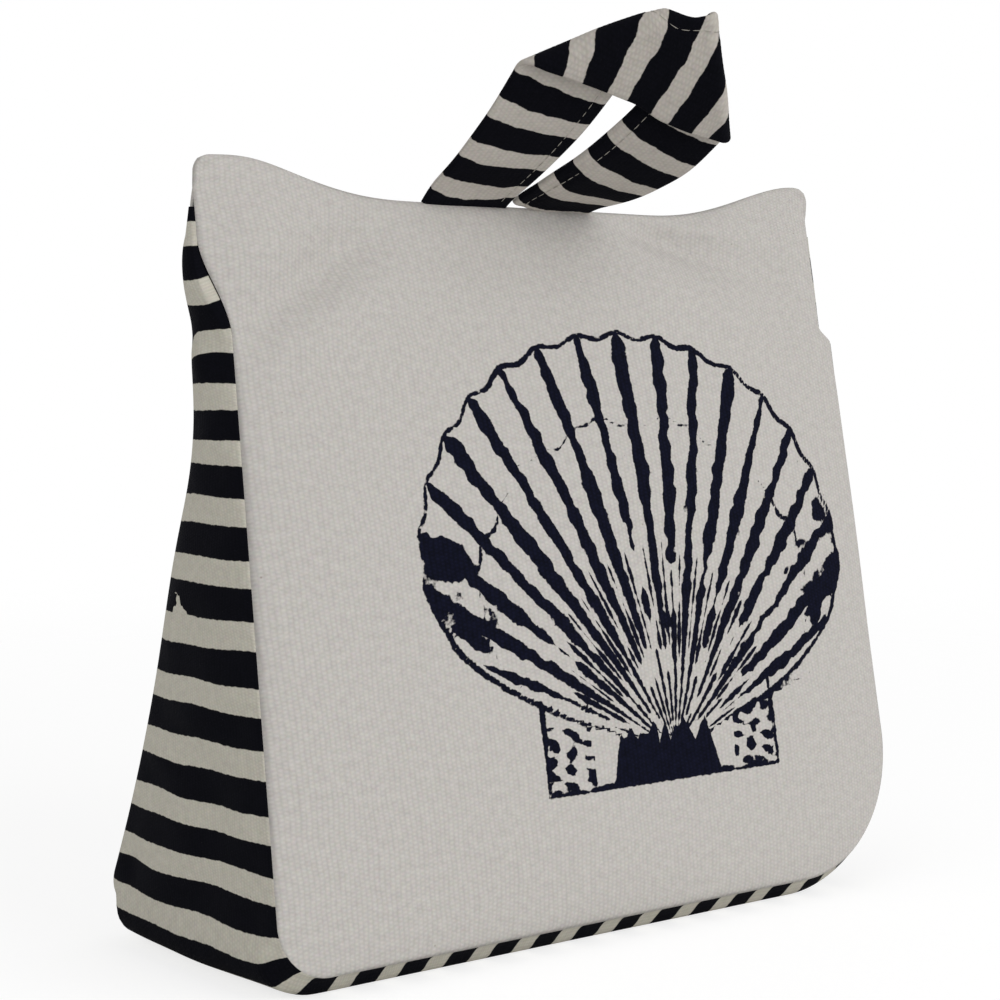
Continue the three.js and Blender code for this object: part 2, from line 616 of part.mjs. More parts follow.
function shellCells() {
  const columns = 2 * SHELL_RIBS + 2;
  const shareAt = (row, column) => {
    const rib = Math.floor((column - 1) / 2);
    if (column === 0) return -1;
    if (column === columns - 1) return 1;
    const sideways = (column % 2 === 1 ? -0.5 : 0.5) * ribBreadth(row);
    return (2 * (rib + 0.5 + sideways)) / SHELL_RIBS - 1;
  };
  const node = (x, up) => {
    const outer = panelPoint(-1, x, up, GAP + INK);
    return clothNode(outer, panelPoint(-1, x, up, GAP));
  };
  const hingeTop = (share) => {
    const up = SHELL_FOOT + SHELL_EAR_HEIGHT * (0.87 - 0.13 * share ** 2);
    return [SHELL_SHIFT + SHELL_HINGE * share, up];
  };
  const fan = SHELL_ROWS.map((reach, row) => range(columns).map((column) => {
    const share = shareAt(row, column);
    const [from, to] = [hingeTop(share), shellRim(share)];
    const scallop = row >= SHELL_ROWS.length - 2 && column % 2 === 0 ? 0.985 : 1;
    const at = reach * scallop;
    return node(from[0] + (to[0] - from[0]) * at, from[1] + (to[1] - from[1]) * at);
  }));
  const earEdges = [-SHELL_EAR, -SHELL_EAR + SHELL_LINE, SHELL_EAR - SHELL_LINE, SHELL_EAR];
  const levels = [0, SHELL_LINE];
  const hinge = levels.map((level) => [
    ...earEdges.slice(0, 2).map((x) => node(SHELL_SHIFT + x, SHELL_FOOT + level)),
    ...range(columns).map((column) => (
      node(SHELL_SHIFT + SHELL_HINGE_FOOT * shareAt(0, column), SHELL_FOOT + level)
    )),
    ...earEdges.slice(2).map((x) => node(SHELL_SHIFT + x, SHELL_FOOT + level)),
  ]);
  const earTop = (x, drop) => node(SHELL_SHIFT + x, SHELL_FOOT + SHELL_EAR_HEIGHT - drop);
  const upper = [
    earTop(earEdges[0], SHELL_LINE), earTop(earEdges[1], SHELL_LINE),
    ...range(columns).map((column) => {
      const [x, up] = hingeTop(shareAt(0, column));
      return node(x, up - SHELL_LINE);
    }),
    earTop(earEdges[2], SHELL_LINE), earTop(earEdges[3], SHELL_LINE),
  ];
  const crown = [
    earTop(earEdges[0], 0), earTop(earEdges[1], 0), ...fan[0],
    earTop(earEdges[2], 0), earTop(earEdges[3], 0),
  ];
  const hingeGrid = [hinge[0], hinge[1], upper, crown];
  const lastColumn = columns + 2;
  const hingeKeep = (j, i) => j !== 1 || i === 0 || i === lastColumn || (i > 1 && i < lastColumn - 1);
  const fanKeep = (j, i) => {
    const rib = i % 2 === 1;
    const rim = j === SHELL_ROWS.length - 2;
    const growth = j === SHELL_GROWTH_ROW && i > 6 && i < columns - 10;
    return rib || rim || j === 0 || growth;
  };
  return [...gridCells(hingeGrid, hingeKeep), ...gridCells(fan, fanKeep)];
}

// Sand pouch: a squat cushion that fills the foot of the bag, in level rings. Each level gives its
// share of the pouch's length, of its depth and of its height.
const SAND_LEVELS = [
  [0.8, 0.86, 0], [0.95, 0.98, 0.12], [1, 1, 0.35], [0.99, 0.94, 0.65], [0.94, 0.82, 0.9], [0.84, 0.66, 1],
];
const SAND_POINTS = 28;
const SAND_SQUARENESS = 0.55;

function sandRings() {
  const long = HALF - SAND_SIDE_ROOM;
  const deep = BASE_DEPTH / 2 - SAND_DEPTH_ROOM;
  const low = CLOTH + GAP;
  const rounded = (value) => Math.sign(value) * Math.abs(value) ** SAND_SQUARENESS;
  return SAND_LEVELS.map(([longShare, deepShare, rise]) => range(SAND_POINTS).map((k) => {
    const angle = (k / SAND_POINTS) * 2 * Math.PI;
    const z = low + (SAND_HEIGHT - low) * rise;
    const x = SAND_SHIFT + long * longShare * rounded(Math.cos(angle));
    return vec(x, deep * deepShare * rounded(Math.sin(angle)), z);
  }));
}

// Fibre filling: follows the inner faces of the two panels, from the sand pouch to near the top seam
function fibreRings() {
  const rows = range(leftRun.length).filter((j) => leftRun[j].up * SLOPE_UP + SEAM_LIFT > SAND_HEIGHT + GAP);
  const used = rows.filter((j) => leftRun[j].up < GUSSET_END - FILL_TOP_ROOM);
  const inside = (facing, j) => range(BASE_STEPS - 1).map((i) => {
    const [x, up] = flatPoint(j, i + 1);
    return panelPoint(facing, x, up).addScaledVector(panelNormal(facing, x, up), -CLOTH - FILL_ROOM);
  });
  const rings = used.map((j) => {
    const [front, back] = [inside(-1, j), inside(1, j)];
    const end = (side, near, far) => {
      const x = side.sign * (Math.abs(sideSeam(side, leftRun[j].up)) - FILL_SIDE_ROOM);
      return [0.25, 0.75].map((share) => mix(near, far, share).setX(x));
    };
    const right = end(RIGHT_SIDE, front.at(-1), back.at(-1));
    const left = end(LEFT_SIDE, back[0], front[0]);
    return [...front, ...right, ...back.reverse(), ...left];
  });
  const foot = rings[0].map((p) => p.clone().setZ(SAND_HEIGHT + GAP));
  return [foot, ...rings];
}

// Closed solid from stacked rings of points, with a flat fan at each end
function stackedSolid(name, rings, colour) {
  const count = rings[0].length;
  const corners = [];
  const triangle = (a, b, c) => corners.push(...a, ...b, ...c);
  rings.slice(1).forEach((ring, level) => range(count).forEach((k) => {
    const next = (k + 1) % count;
    triangle(rings[level][k], rings[level][next], ring[next]);
    triangle(rings[level][k], ring[next], ring[k]);
  }));
  const centre = (ring) => ring.reduce((sum, p) => sum.add(p), vec(0, 0, 0)).divideScalar(count);
  [[rings[0], 1], [rings.at(-1), 0]].forEach(([ring, isFoot]) => range(count).forEach((k) => {
    const pair = [ring[k], ring[(k + 1) % count]];
    triangle(centre(ring), ...(isFoot ? pair.reverse() : pair));
  }));
  const geometry = new THREE.BufferGeometry();
  geometry.setAttribute('position', new THREE.Float32BufferAttribute(corners, 3));
  geometry.computeVertexNormals();
  const mesh = new THREE.Mesh(geometry, new THREE.MeshStandardMaterial({ color: colour, roughness: 0.95 }));
  mesh.name = name;
  return mesh;
}

const doorStop = new THREE.Group();
doorStop.add(clothSolid('front_panel', panelCells(-1), { ground: CANVAS }));
doorStop.add(clothSolid('back_panel', panelCells(1), { ground: CANVAS }));
doorStop.add(clothSolid('gusset_strip', gussetCells(), { ground: CREAM, print: NAVY }));
doorStop.add(clothSolid('handle_strap', strapCells(), { ground: CREAM, print: NAVY }));
doorStop.add(clothSolid('scallop_print', shellCells(), { ground: NAVY }));
doorStop.add(stackedSolid('sand_bag', sandRings(), SAND_CLOTH));
doorStop.add(stackedSolid('fibre_filling', fibreRings(), FIBRE));

export default doorStop;
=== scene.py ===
# %% [markdown]
# # A weighted door stop of printed canvas
# The real object is a small bag sewn from four pieces of cotton canvas: a front and a back panel, one
# striped strip that runs down one side, under the bag and up the other side, and a striped strap.
# Sand weighs down its foot and loose fibre fills the rest. Everything here is drawn in millimetres
# and turned into metres only when a mesh is made.

# %% Load the frame
import json
import math
import bpy
import numpy as np
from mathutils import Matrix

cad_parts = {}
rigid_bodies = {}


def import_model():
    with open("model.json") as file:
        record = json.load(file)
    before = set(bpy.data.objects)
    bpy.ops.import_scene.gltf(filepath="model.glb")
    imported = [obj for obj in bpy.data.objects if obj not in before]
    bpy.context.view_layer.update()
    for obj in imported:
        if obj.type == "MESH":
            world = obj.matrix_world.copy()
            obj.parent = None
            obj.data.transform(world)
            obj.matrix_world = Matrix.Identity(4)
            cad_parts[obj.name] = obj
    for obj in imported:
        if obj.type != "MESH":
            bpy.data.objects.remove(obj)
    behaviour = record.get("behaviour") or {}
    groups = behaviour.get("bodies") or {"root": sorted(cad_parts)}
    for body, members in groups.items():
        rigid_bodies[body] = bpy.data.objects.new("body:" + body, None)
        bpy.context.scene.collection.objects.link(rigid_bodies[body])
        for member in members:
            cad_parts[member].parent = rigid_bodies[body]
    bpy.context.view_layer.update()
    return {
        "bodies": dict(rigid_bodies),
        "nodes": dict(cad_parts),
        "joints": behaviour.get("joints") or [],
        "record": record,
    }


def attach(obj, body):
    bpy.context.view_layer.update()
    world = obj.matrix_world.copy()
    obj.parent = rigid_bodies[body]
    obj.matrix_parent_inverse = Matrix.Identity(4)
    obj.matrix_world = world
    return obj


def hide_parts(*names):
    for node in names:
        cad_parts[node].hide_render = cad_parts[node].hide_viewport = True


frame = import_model()

# %% [markdown]
# ## Camera
# The camera could be placed by eye, but here its place was worked out from the corners of the bag in
# the photograph, so the numbers are a place, a heading and a long lens. It looks from the left
# front, a little above the floor.

# %% Camera
HEADING, CLIMB = math.radians(-38.5), math.radians(3.4)
CAMERA_AT = (-0.4686, -0.5727, 0.1814)
LENS_MM, SENSOR_MM = 79.77, 36.0


def placed(side, top, back, at):
    """Matrix with the three directions and the place as columns, written column by column for Blender."""
    turned = np.eye(4)
    turned[:3, 0], turned[:3, 1], turned[:3, 2], turned[:3, 3] = side, top, back, at
    return turned.T.tolist()


level_back = np.array([math.sin(HEADING), -math.cos(HEADING), 0.0])
backward = level_back * math.cos(CLIMB) + [0, 0, math.sin(CLIMB)]
rightward = np.array([math.cos(HEADING), math.sin(HEADING), 0.0])

lens = bpy.data.cameras.new("photo_lens")
lens.sensor_width, lens.lens = SENSOR_MM, LENS_MM
camera = bpy.data.objects.new("photo_camera", lens)
bpy.context.scene.collection.objects.link(camera)
bpy.context.scene.camera = camera
camera.matrix_world = placed(rightward, np.cross(backward, rightward), backward, CAMERA_AT)
print("camera at", CAMERA_AT, "m")

# %% [markdown]
# ## Helpers
# A sheet of cloth is a grid of points worked out as whole arrays. `cloth` gives such a grid a second
# face one cloth thickness inside the first and closes its edges, so that each piece is a solid sheet.
# Its UV map holds the flat pattern in metres, which the weave later follows, and its point fields say
# how deep in the print each point lies. `tube` closes a wrapped grid with two caps.

# %% Mesh and value helpers
def smooth(t):
    """0 below 0, 1 above 1, and 3t^2 - 2t^3 between."""
    t = np.clip(t, 0.0, 1.0)
    return t * t * (3.0 - 2.0 * t)


def waves(x, y, size, seed, count=14):
    """Soft uneven field of about -1 to 1: cosines of random headings, `size` mm from crest to crest."""
    random = np.random.default_rng(seed)
    total = np.zeros(np.broadcast(x, y).shape)
    for _ in range(count):
        heading = random.uniform(0, 2 * np.pi)
        phase = random.uniform(0, 2 * np.pi)
        stretch = random.uniform(0.7, 1.5)
        along = x * np.cos(heading) + y * np.sin(heading)
        total += np.cos(2 * np.pi * along / (size * stretch) + phase)
    return total / math.sqrt(count / 2) / 2


def unit(v):
    """Each vector divided by its length."""
    return v / np.maximum(np.linalg.norm(v, axis=-1, keepdims=True), 1e-9)


def grid_normals(points):
    """Cross product of the steps along the columns and along the rows."""
    return unit(np.cross(np.gradient(points, axis=1), np.gradient(points, axis=0)))


def make_piece(name, points, quads, uv=None, fields=None):
    """Mesh object from points in mm and rings of corners, with a UV map in metres and named point fields."""
    mesh = bpy.data.meshes.new(name)
    mesh.from_pydata((points / 1000.0).tolist(), [], [list(ring) for ring in quads])
    if uv is not None:
        corners = np.empty(len(mesh.loops), dtype=np.int32)
        mesh.loops.foreach_get("vertex_index", corners)
        layer = mesh.uv_layers.new(name="flat_pattern")
        layer.data.foreach_set("uv", (uv[corners] / 1000.0).astype(np.float32).ravel())
    for field, values in (fields or {}).items():
        data = mesh.attributes.new(field, "FLOAT", "POINT").data
        data.foreach_set("value", values.astype(np.float32).ravel())
    mesh.polygons.foreach_set("use_smooth", np.ones(len(mesh.polygons), dtype=bool))
    mesh.update()
    piece = bpy.data.objects.new(name, mesh)
    bpy.context.scene.collection.objects.link(piece)
    print(f"{name}: {len(points)} points, {len(quads)} faces")
    return piece


def grid_quads(rows, columns, wrap=False):
    """Rings of four between neighbouring rows and columns; wrap joins the last column to the first."""
    index = np.arange(rows * columns).reshape(rows, columns)
    right = np.roll(index, -1, axis=1) if wrap else index[:, 1:]
    left = index if wrap else index[:, :-1]
    return np.stack([left[:-1], right[:-1], right[1:], left[1:]], axis=-1).reshape(-1, 4)


def tube(name, grid, uv=None, fields=None):
    """Closed piece: a wrapped grid with a cap over its first and its last ring."""
    rows, ring = grid.shape[:2]
    caps = [list(range(ring))[::-1], list(range((rows - 1) * ring, rows * ring))]
    quads = grid_quads(rows, ring, wrap=True).tolist() + caps
    return make_piece(name, grid.reshape(-1, 3), quads, uv, fields)


def cloth(name, outer, uv, thickness=1.0, fields=None):
    """Closed sheet: the outer grid, the same grid moved back along its normals, and a wall round the edge."""
    rows, columns = outer.shape[:2]
    inner = outer - thickness * grid_normals(outer)
    count = rows * columns
    front = grid_quads(rows, columns)
    index = np.arange(count).reshape(rows, columns)
    rim = np.concatenate([index[0, :-1], index[:-1, -1], index[-1, :0:-1], index[:0:-1, 0]])
    after = np.roll(rim, -1)
    wall = np.stack([rim, rim + count, after + count, after], axis=-1)
    quads = np.concatenate([front, front[:, ::-1] + count, wall])
    both = {key: np.tile(values.ravel(), 2) for key, values in (fields or {}).items()}
    points = np.concatenate([outer.reshape(-1, 3), inner.reshape(-1, 3)])
    return make_piece(name, points, quads, np.tile(uv.reshape(-1, 2), (2, 1)), both)


# %% [markdown]
# ## The flat pattern of a panel
# Both panels are cut nearly square, with slack corners that stand up as two ears. The side seams draw
# in at a waist below the ears, where the filling ends. Every seam is a formula of a height up the cloth
# or of a distance across it, so the panels and the striped strip share exactly the same seams.

# %% Seams
# Panel width, length up the cloth, depth of the foot, height of the foot seam
WIDTH, SLOPE, DEPTH, LIFT = 256.0, 236.0, 105.0, 7.0
# Height of the level top seam, rise of the ears, their rounding, half the level length
TOP_MIDDLE, EAR_RISE, EAR_RADIUS, SEAT_HALF = 233.2, 13.4, 5.8, 48.0
EAR_TOP = TOP_MIDDLE + EAR_RISE
EAR_CURVE = 1.36
ARC_CUT = 1 - math.sqrt(0.5)  # share of a radius that half of a quarter arc takes up
STRIP_TIP = 3.4  # how wide the strip still is where it ends at the ears
STRIP_END = SLOPE * (1 - STRIP_TIP / DEPTH)
LEFT = dict(sign=-1, foot=5.5, lean=-0.059, flare=9.6, waist=188.0, span=30.0, corner=16.0)
RIGHT = dict(sign=1, foot=-2.1, lean=0.039, flare=-5.0, waist=188.0, span=6.0, corner=49.0)
SLOPE_OUT = DEPTH / 2 / SLOPE
SLOPE_UP = math.sqrt(1 - SLOPE_OUT ** 2)


def round_off(radius, past):
    """Drop of a rounded corner: r - sqrt(r^2 - d^2), d being the distance past the start of the arc."""
    return radius - np.sqrt(np.maximum(0.0, radius ** 2 - np.clip(past, 0.0, radius) ** 2))


def side_reach(side, up):
    """Half width + foot + lean * height, and a flare that starts at the waist."""
    at = np.maximum(up, side["corner"])
    flare = side["flare"] * smooth((at - side["waist"]) / side["span"])
    return WIDTH / 2 + side["foot"] + side["lean"] * at + flare


def side_seam(side, up):
    """The reach less the rounding of the bottom corner and of the ear, on its own side."""
    corner = round_off(side["corner"], side["corner"] - up)
    ear = round_off(EAR_RADIUS, up - (EAR_TOP - EAR_RADIUS))
    return side["sign"] * (side_reach(side, up) - corner - ear)


def by_side(x, value):
    """value(left side) where x is below nought, value(right side) elsewhere."""
    return np.where(x < 0, value(LEFT), value(RIGHT))


def bottom_seam(x):
    """Nought, rising round the two bottom corners."""
    return by_side(x, lambda s: round_off(s["corner"], np.abs(x) - (side_reach(s, 0.0) - s["corner"])))


def top_seam(x):
    """Level under the strap, then a soft climb to each ear."""
    start = by_side(x, lambda s: side_reach(s, SLOPE) - EAR_RADIUS)
    climb = np.clip((np.abs(x) - SEAT_HALF) / (start - SEAT_HALF), 0, 1)
    return TOP_MIDDLE + EAR_RISE * smooth(climb ** EAR_CURVE) - round_off(EAR_RADIUS, np.abs(x) - start)


def panel_depth(facing, x, up):
    """Half depth * (1 - height / slope); the back slumps in, and its left side is uneven as in the photo."""
    half = DEPTH / 2 * np.maximum(0.0, 1 - up / np.minimum(top_seam(x), SLOPE))
    if facing < 0:
        return half
    empty = smooth((up - 190) / 20) * (1 - smooth((up - 208) / 16))
    slumped = half * (1 - 0.3 * np.sin(np.pi * np.clip(up, 0, SLOPE) / SLOPE) - 0.35 * empty)
    uneven = 3.0 * np.exp(-((up - 186) / 13) ** 2) - 4.5 * np.exp(-((up - 150) / 24) ** 2)
    uneven -= 1.4 * np.exp(-((up - 221) / 9) ** 2)
    return slumped + uneven * smooth((60 - x) / 120)


EAR_SUNK, SUNK_AT, SUNK_REACH = 2.6, (-126, 246), 15


def height_of(x, up):
    """Lift + height up the cloth * cos(slope), less a sunk left ear: depth * exp(-(distance / reach)^2)."""
    distance = np.hypot(x - SUNK_AT[0], up - SUNK_AT[1])
    return LIFT + up * SLOPE_UP - EAR_SUNK * np.exp(-(distance / SUNK_REACH) ** 2)


def seam_place(facing, x, up):
    """Place in space of a point of a seam."""
    return np.stack([x, facing * panel_depth(facing, x, up), height_of(x, up)], axis=-1)


# %% [markdown]
# ## Front and back panels
# A panel could be a flat plate with a bump, but stuffed cloth has no flat part. It swells steeply from
# its seams and more gently in the middle, which the square root of a product of two parabolas gives.
# Slack cloth near the ears and the waist falls in, and soft waves keep it from looking pressed.

# %% Panels
PANEL_ROWS, PANEL_COLUMNS = 200, 216
FRONT_FULL, BACK_FULL, CREASE = 11.0, 9.0, 3.0  # swell of each panel, depth of the waist creases
FRONT_DENTS = [  # place, reach along and across, turn in degrees, depth
    ((-88, 210), (30, 9), 32, 5.6),
    ((-96, 192), (24, 9), 30, -3.4),
    ((80, 218), (34, 8), -12, 4.6),
    ((62, 200), (30, 9), -14, -2.6),
    ((-30, 214), (46, 7), -4, 0.5),
    ((54, 224), (17, 5), -14, 3.2),
]


def panel_flat(rows, columns):
    """Flat places between the four seams: both ruled surfaces less the plane through the corners."""
    u, v = np.meshgrid(np.linspace(0, 1, columns), np.linspace(0, 1, rows))
    sides = []
    for side in (LEFT, RIGHT):
        low = side["corner"] * ARC_CUT
        up = low + v * (EAR_TOP - EAR_RADIUS * ARC_CUT - low)
        sides.append(np.stack([side_seam(side, up), up], axis=-1))
    left, right = sides
    low_x = left[0, 0, 0] + u * (right[0, 0, 0] - left[0, 0, 0])
    high_x = left[-1, 0, 0] + u * (right[-1, 0, 0] - left[-1, 0, 0])
    low = np.stack([low_x, bottom_seam(low_x)], axis=-1)
    high = np.stack([high_x, top_seam(high_x)], axis=-1)
    u, v = u[..., None], v[..., None]
    ruled = left * (1 - u) + right * u + low * (1 - v) + high * v
    low_line = left[0, 0] * (1 - u) + right[0, 0] * u
    high_line = left[-1, 0] * (1 - u) + right[-1, 0] * u
    return ruled - low_line * (1 - v) - high_line * v


def pillow(x, up):
    """Square root of two parabolas, one from side to side and one from bottom to top."""
    left, right, low, high = side_seam(LEFT, up), side_seam(RIGHT, up), bottom_seam(x), top_seam(x)
    across = np.maximum(0, 4 * (x - left) * (right - x) / (right - left) ** 2)
    along = np.maximum(0, 4 * (up - low) * (high - up) / (high - low) ** 2)
    return np.sqrt(across * along)


def creases(x, up):
    """One soft valley running in and slightly up from each waist."""
    total = np.zeros_like(x)
    for side in (LEFT, RIGHT):
        inward = np.abs(side_seam(side, side["waist"]) - x)
        total += np.exp(-((up - side["waist"] - 0.25 * inward) / 13) ** 2 - (inward / 45) ** 2)
    return total


def dent(x, up, at, reach, turn=0.0):
    """A smooth hollow: exp(-distance^2), with its own reach along and across, turned by an angle."""
    c, s = math.cos(math.radians(turn)), math.sin(math.radians(turn))
    dx, dy = x - at[0], up - at[1]
    return np.exp(-((dx * c + dy * s) / reach[0]) ** 2 - ((dy * c - dx * s) / reach[1]) ** 2)


def panel_push(facing, x, up):
    """How far the filling lifts the cloth off the plane of its seams."""
    full, seed = (FRONT_FULL, 3) if facing < 0 else (BACK_FULL, 7)
    push = (full - CREASE * creases(x, up)) * pillow(x, up)
    slack = smooth((up - 150) / 70)
    edge = smooth(pillow(x, up) / 0.35)
    push += edge * (0.7 * waves(x, up, 95, seed) + (0.3 + 1.1 * slack) * waves(x, up, 42, seed + 1))
    for at, reach, turn, depth in FRONT_DENTS if facing < 0 else []:
        push -= edge * depth * dent(x, up, at, reach, turn)
    return push


def panel_grid(facing):
    """Seam plane + push along its slope, (x, facing * (depth + push * cos), lift + up * cos + push * sin)."""
    flat = panel_flat(PANEL_ROWS, PANEL_COLUMNS)
    x, up = flat[..., 0], flat[..., 1]
    push = panel_push(facing, x, up)
    y = facing * (panel_depth(facing, x, up) + push * SLOPE_UP)
    return np.stack([x, y, height_of(x, up) + push * SLOPE_OUT], axis=-1), flat


# %% [markdown]
# ## The printed scallop
# A print could be a picture, but a few formulas keep its edges sharp at any size. Each shape is a
# depth: how many millimetres a place lies inside it, and below nought where the cloth is bare. The
# largest depth wins, and the material prints wherever that is above nought.

# %% Scallop
UMBO = (21.0, 50.0)  # where the ribs meet, across and up
EAR_MIDDLE, EAR_FOOT = 16.5, 40.5  # middle line and foot of the hinge block and its ears
RIB_COUNT, SPREAD = 19, math.radians(69)
RIB_SPACING = 2 * SPREAD / RIB_COUNT


def scallop_rim(angle):
    """Hinge to rim: 138 - 31 * (angle / 60 degrees)^2.6, notched at the ribs, steep past 66 degrees."""
    degrees = np.degrees(np.abs(angle))
    body = 138 - 31 * (degrees / 60) ** 2.6
    shoulder = np.clip(1 - (degrees / 75) ** 16, 0, 1)
    notches = 1 + 0.008 * np.cos(angle / SPREAD * RIB_COUNT * np.pi)
    return body * shoulder * notches


def fan_place(x, up):
    """Radius and angle about the hinge, share of the way to the rim, and millimetres inside the rim."""
    dx, dy = x - UMBO[0], up - UMBO[1]
    radius, angle = np.hypot(dx, dy), np.arctan2(dx, dy)
    rim = scallop_rim(angle)
    slope = (scallop_rim(angle + 0.01) - scallop_rim(angle - 0.01)) / 0.02
    inside = (rim - radius) / np.sqrt(1 + (slope / np.maximum(rim, 1.0)) ** 2)
    return radius, angle, np.clip(radius / np.maximum(rim, 1.0), 0, 2), inside


def clear_of_hinge(angle, up, depth):
    """The fan stops at 74 degrees and above the hinge block."""
    return np.minimum(np.where(np.abs(angle) < math.radians(74), depth, -5.0), up - EAR_FOOT - 6)


def rib_width(x, up):
    """Half width of the rib through each place: wide near the rim, uneven, broken lower down and barbed."""
    radius, angle, share, inside = fan_place(x, up)
    number = np.clip(np.round(angle / RIB_SPACING), -(RIB_COUNT // 2), RIB_COUNT // 2)
    vary = 0.5 + 0.5 * np.sin(number * 2.3 + 0.7)
    swell = smooth((share - 0.12) / 0.4) * (1 - 0.15 * smooth((share - 0.8) / 0.2))
    width = 0.6 + (1.35 + 0.8 * vary) * swell
    width += 0.9 * waves(radius, angle * 60 + number * 31, 34, 21) * smooth((share - 0.15) / 0.3)
    width -= 1.0 * smooth((np.abs(np.degrees(angle)) - 56) / 6)
    width = np.minimum(width, 0.27 * RIB_SPACING * radius + 0.1)
    broken = smooth((waves(radius, number * 47, 26, 5) - 0.25) / 0.4)
    width -= 1.6 * broken * smooth((0.62 - share) / 0.2)
    width += 0.7 * waves(radius * 0.6, angle * 80, 5, 22) * smooth((share - 0.2) / 0.3)
    return clear_of_hinge(angle, up, np.clip(np.minimum(width, inside + 0.4), -5, 5))


def line_width(x, up):
    """Half width of the fine line half-way between two ribs, which shows only low in the fan."""
    radius, angle, share, inside = fan_place(x, up)
    middle = smooth((share - 0.2) / 0.06) * (1 - smooth((share - 0.44) / 0.1))
    width = 0.45 - 1.4 * (1 - middle) + 0.6 * waves(radius, np.floor(angle / RIB_SPACING) * 13, 20, 9)
    return clear_of_hinge(angle, up, np.clip(np.minimum(width, inside), -5, 5))


def fan_depth(x, up):
    """Depth in the rim line, the growth line and the smears at the flanks and the middle."""
    radius, angle, share, inside = fan_place(x, up)
    steep = np.abs(np.degrees(angle))
    flanks = smooth((steep - 43) / 8) * smooth((66 - steep) / 5) * smooth(1.3 - np.abs(share - 0.9) / 0.2)
    smear = 3.7 * flanks + 3.4 * dent(x, up, (24, 92), (5, 17)) - 3.3
    smear += 1.7 * waves(radius * 0.5, angle * 70, 11, 31) + 0.9 * waves(radius * 0.4, angle * 90, 5, 32)
    rim_line = 0.8 + 0.35 * waves(angle * 90, radius * 0, 30, 14) - np.abs(inside)
    past = np.abs(share - 0.79 + 0.012 * np.cos(angle * 19)) * (radius / np.maximum(share, 0.1))
    growth = 0.45 + 0.6 * waves(angle * 90, radius * 0, 38, 17) - past
    depth = np.maximum.reduce([np.minimum(smear, inside), rim_line, np.minimum(growth, inside)])
    return clear_of_hinge(angle, up, depth)


def hinge_depth(x, up):
    """Depth in the solid hinge block with its torn top, and in the flecked and framed ears beside it."""
    out, above = np.abs(x - EAR_MIDDLE), up - EAR_FOOT
    block = np.minimum(24.5 - 0.3 * above - out, above)
    block = np.minimum(block, 16.5 + 3.5 * waves(x, up * 0.2, 5, 41) - above)
    block -= 1.0 * smooth((waves(x, up, 8, 43) - 0.6) / 0.3)
    under_fan = 19.5 + 0.14 * (out - 30) - above
    edge = np.minimum(51 - out, above)
    frame = np.minimum(np.minimum(edge, 1.7 + 0.5 * waves(x, up, 12, 52) - edge), 30.5 - above)
    flecks = np.minimum(np.minimum(edge, under_fan), 1.7 * waves(x, up * 1.4, 6.5, 51) - 0.25)
    return np.maximum.reduce([block, frame, np.where(out > 31, flecks, -3.0)])


# %% [markdown]
# ## Making both panels
# The same grid could carry a picture of the print in its colours, but a grid step of 1.2 mm is too
# coarse for thin lines. So the front panel carries smooth fields of depth and width, and the material
# works out the lines themselves between the points. The back panel is the plain cloth, seen from behind.

# %% Make the panels
points, flat = panel_grid(-1)
x, up = flat[..., 0], flat[..., 1]
printed = np.maximum(fan_depth(x, up), hinge_depth(x, up))
print("share of the front that is print, without the ribs:", round(float((printed > 0).mean()), 3))
front_fields = {
    "ink_depth": np.clip(printed, -20, 20),
    "rib_width": rib_width(x, up),
    "line_width": line_width(x, up),
}
panels = {-1: cloth("front_panel_cloth", points, flat, fields=front_fields)}
points, flat = panel_grid(1)
bare = np.full(flat.shape[:2], -20.0)
panels[1] = cloth("back_panel_cloth", points[:, ::-1], flat[:, ::-1], fields={"ink_depth": bare})

# %% [markdown]
# ## The striped strip
# One long strip makes the left side, the underside and the right side. It is a ruled surface between
# the front and the back seam, pushed out a little along its middle, and its stripes are counted along
# its own length, so that they turn the corners as real printed cloth does.

# %% Strip
STRIP_COLUMNS = 60
CORNER_DRAW, CORNER_PUFF, SIDE_PUFF = 8.0, 3.0, 4.0
GUSSET_STRIPES = dict(first=-4.6, pitch=17.0, dark=9.3)


def stripe_depth(along, first, pitch, dark):
    """Millimetres inside a dark stripe: dark / 2 - distance to the middle of the nearest stripe."""
    from_middle = (along - first - dark / 2 + pitch / 2) % pitch - pitch / 2
    return dark / 2 - np.abs(from_middle)


def printed_place(reach):
    """Place along the strip as it was printed, before it was drawn down into the foot corner."""
    even = np.linspace(-20, 800, 4000)
    side = even / SLOPE
    grown, faded = smooth((side - 0.32) / 0.49), smooth((side - 0.87) / 0.15)
    return np.interp(reach, even + CORNER_DRAW * grown * (1 - faded), even)


def strip_run(step=1.5):
    """Places along the seam, from one ear down, along the foot and up, spaced evenly along the cloth."""
    fine = np.linspace(0, 1, 400)
    ends = {}
    for key, side in (("left", LEFT), ("right", RIGHT)):
        low = side["corner"] * ARC_CUT
        up = low + fine * (STRIP_END - low)
        ends[key] = np.stack([side_seam(side, up), up], axis=-1)
    x = ends["left"][0, 0] + fine * (ends["right"][0, 0] - ends["left"][0, 0])
    foot = np.stack([x, bottom_seam(x)], axis=-1)
    run = np.concatenate([ends["left"][::-1], foot[1:-1], ends["right"]])
    reach = np.concatenate([[0], np.cumsum(np.linalg.norm(np.diff(run, axis=0), axis=1))])
    even = np.linspace(0, reach[-1], int(reach[-1] / step))
    return np.stack([np.interp(even, reach, run[:, k]) for k in (0, 1)], axis=-1), even


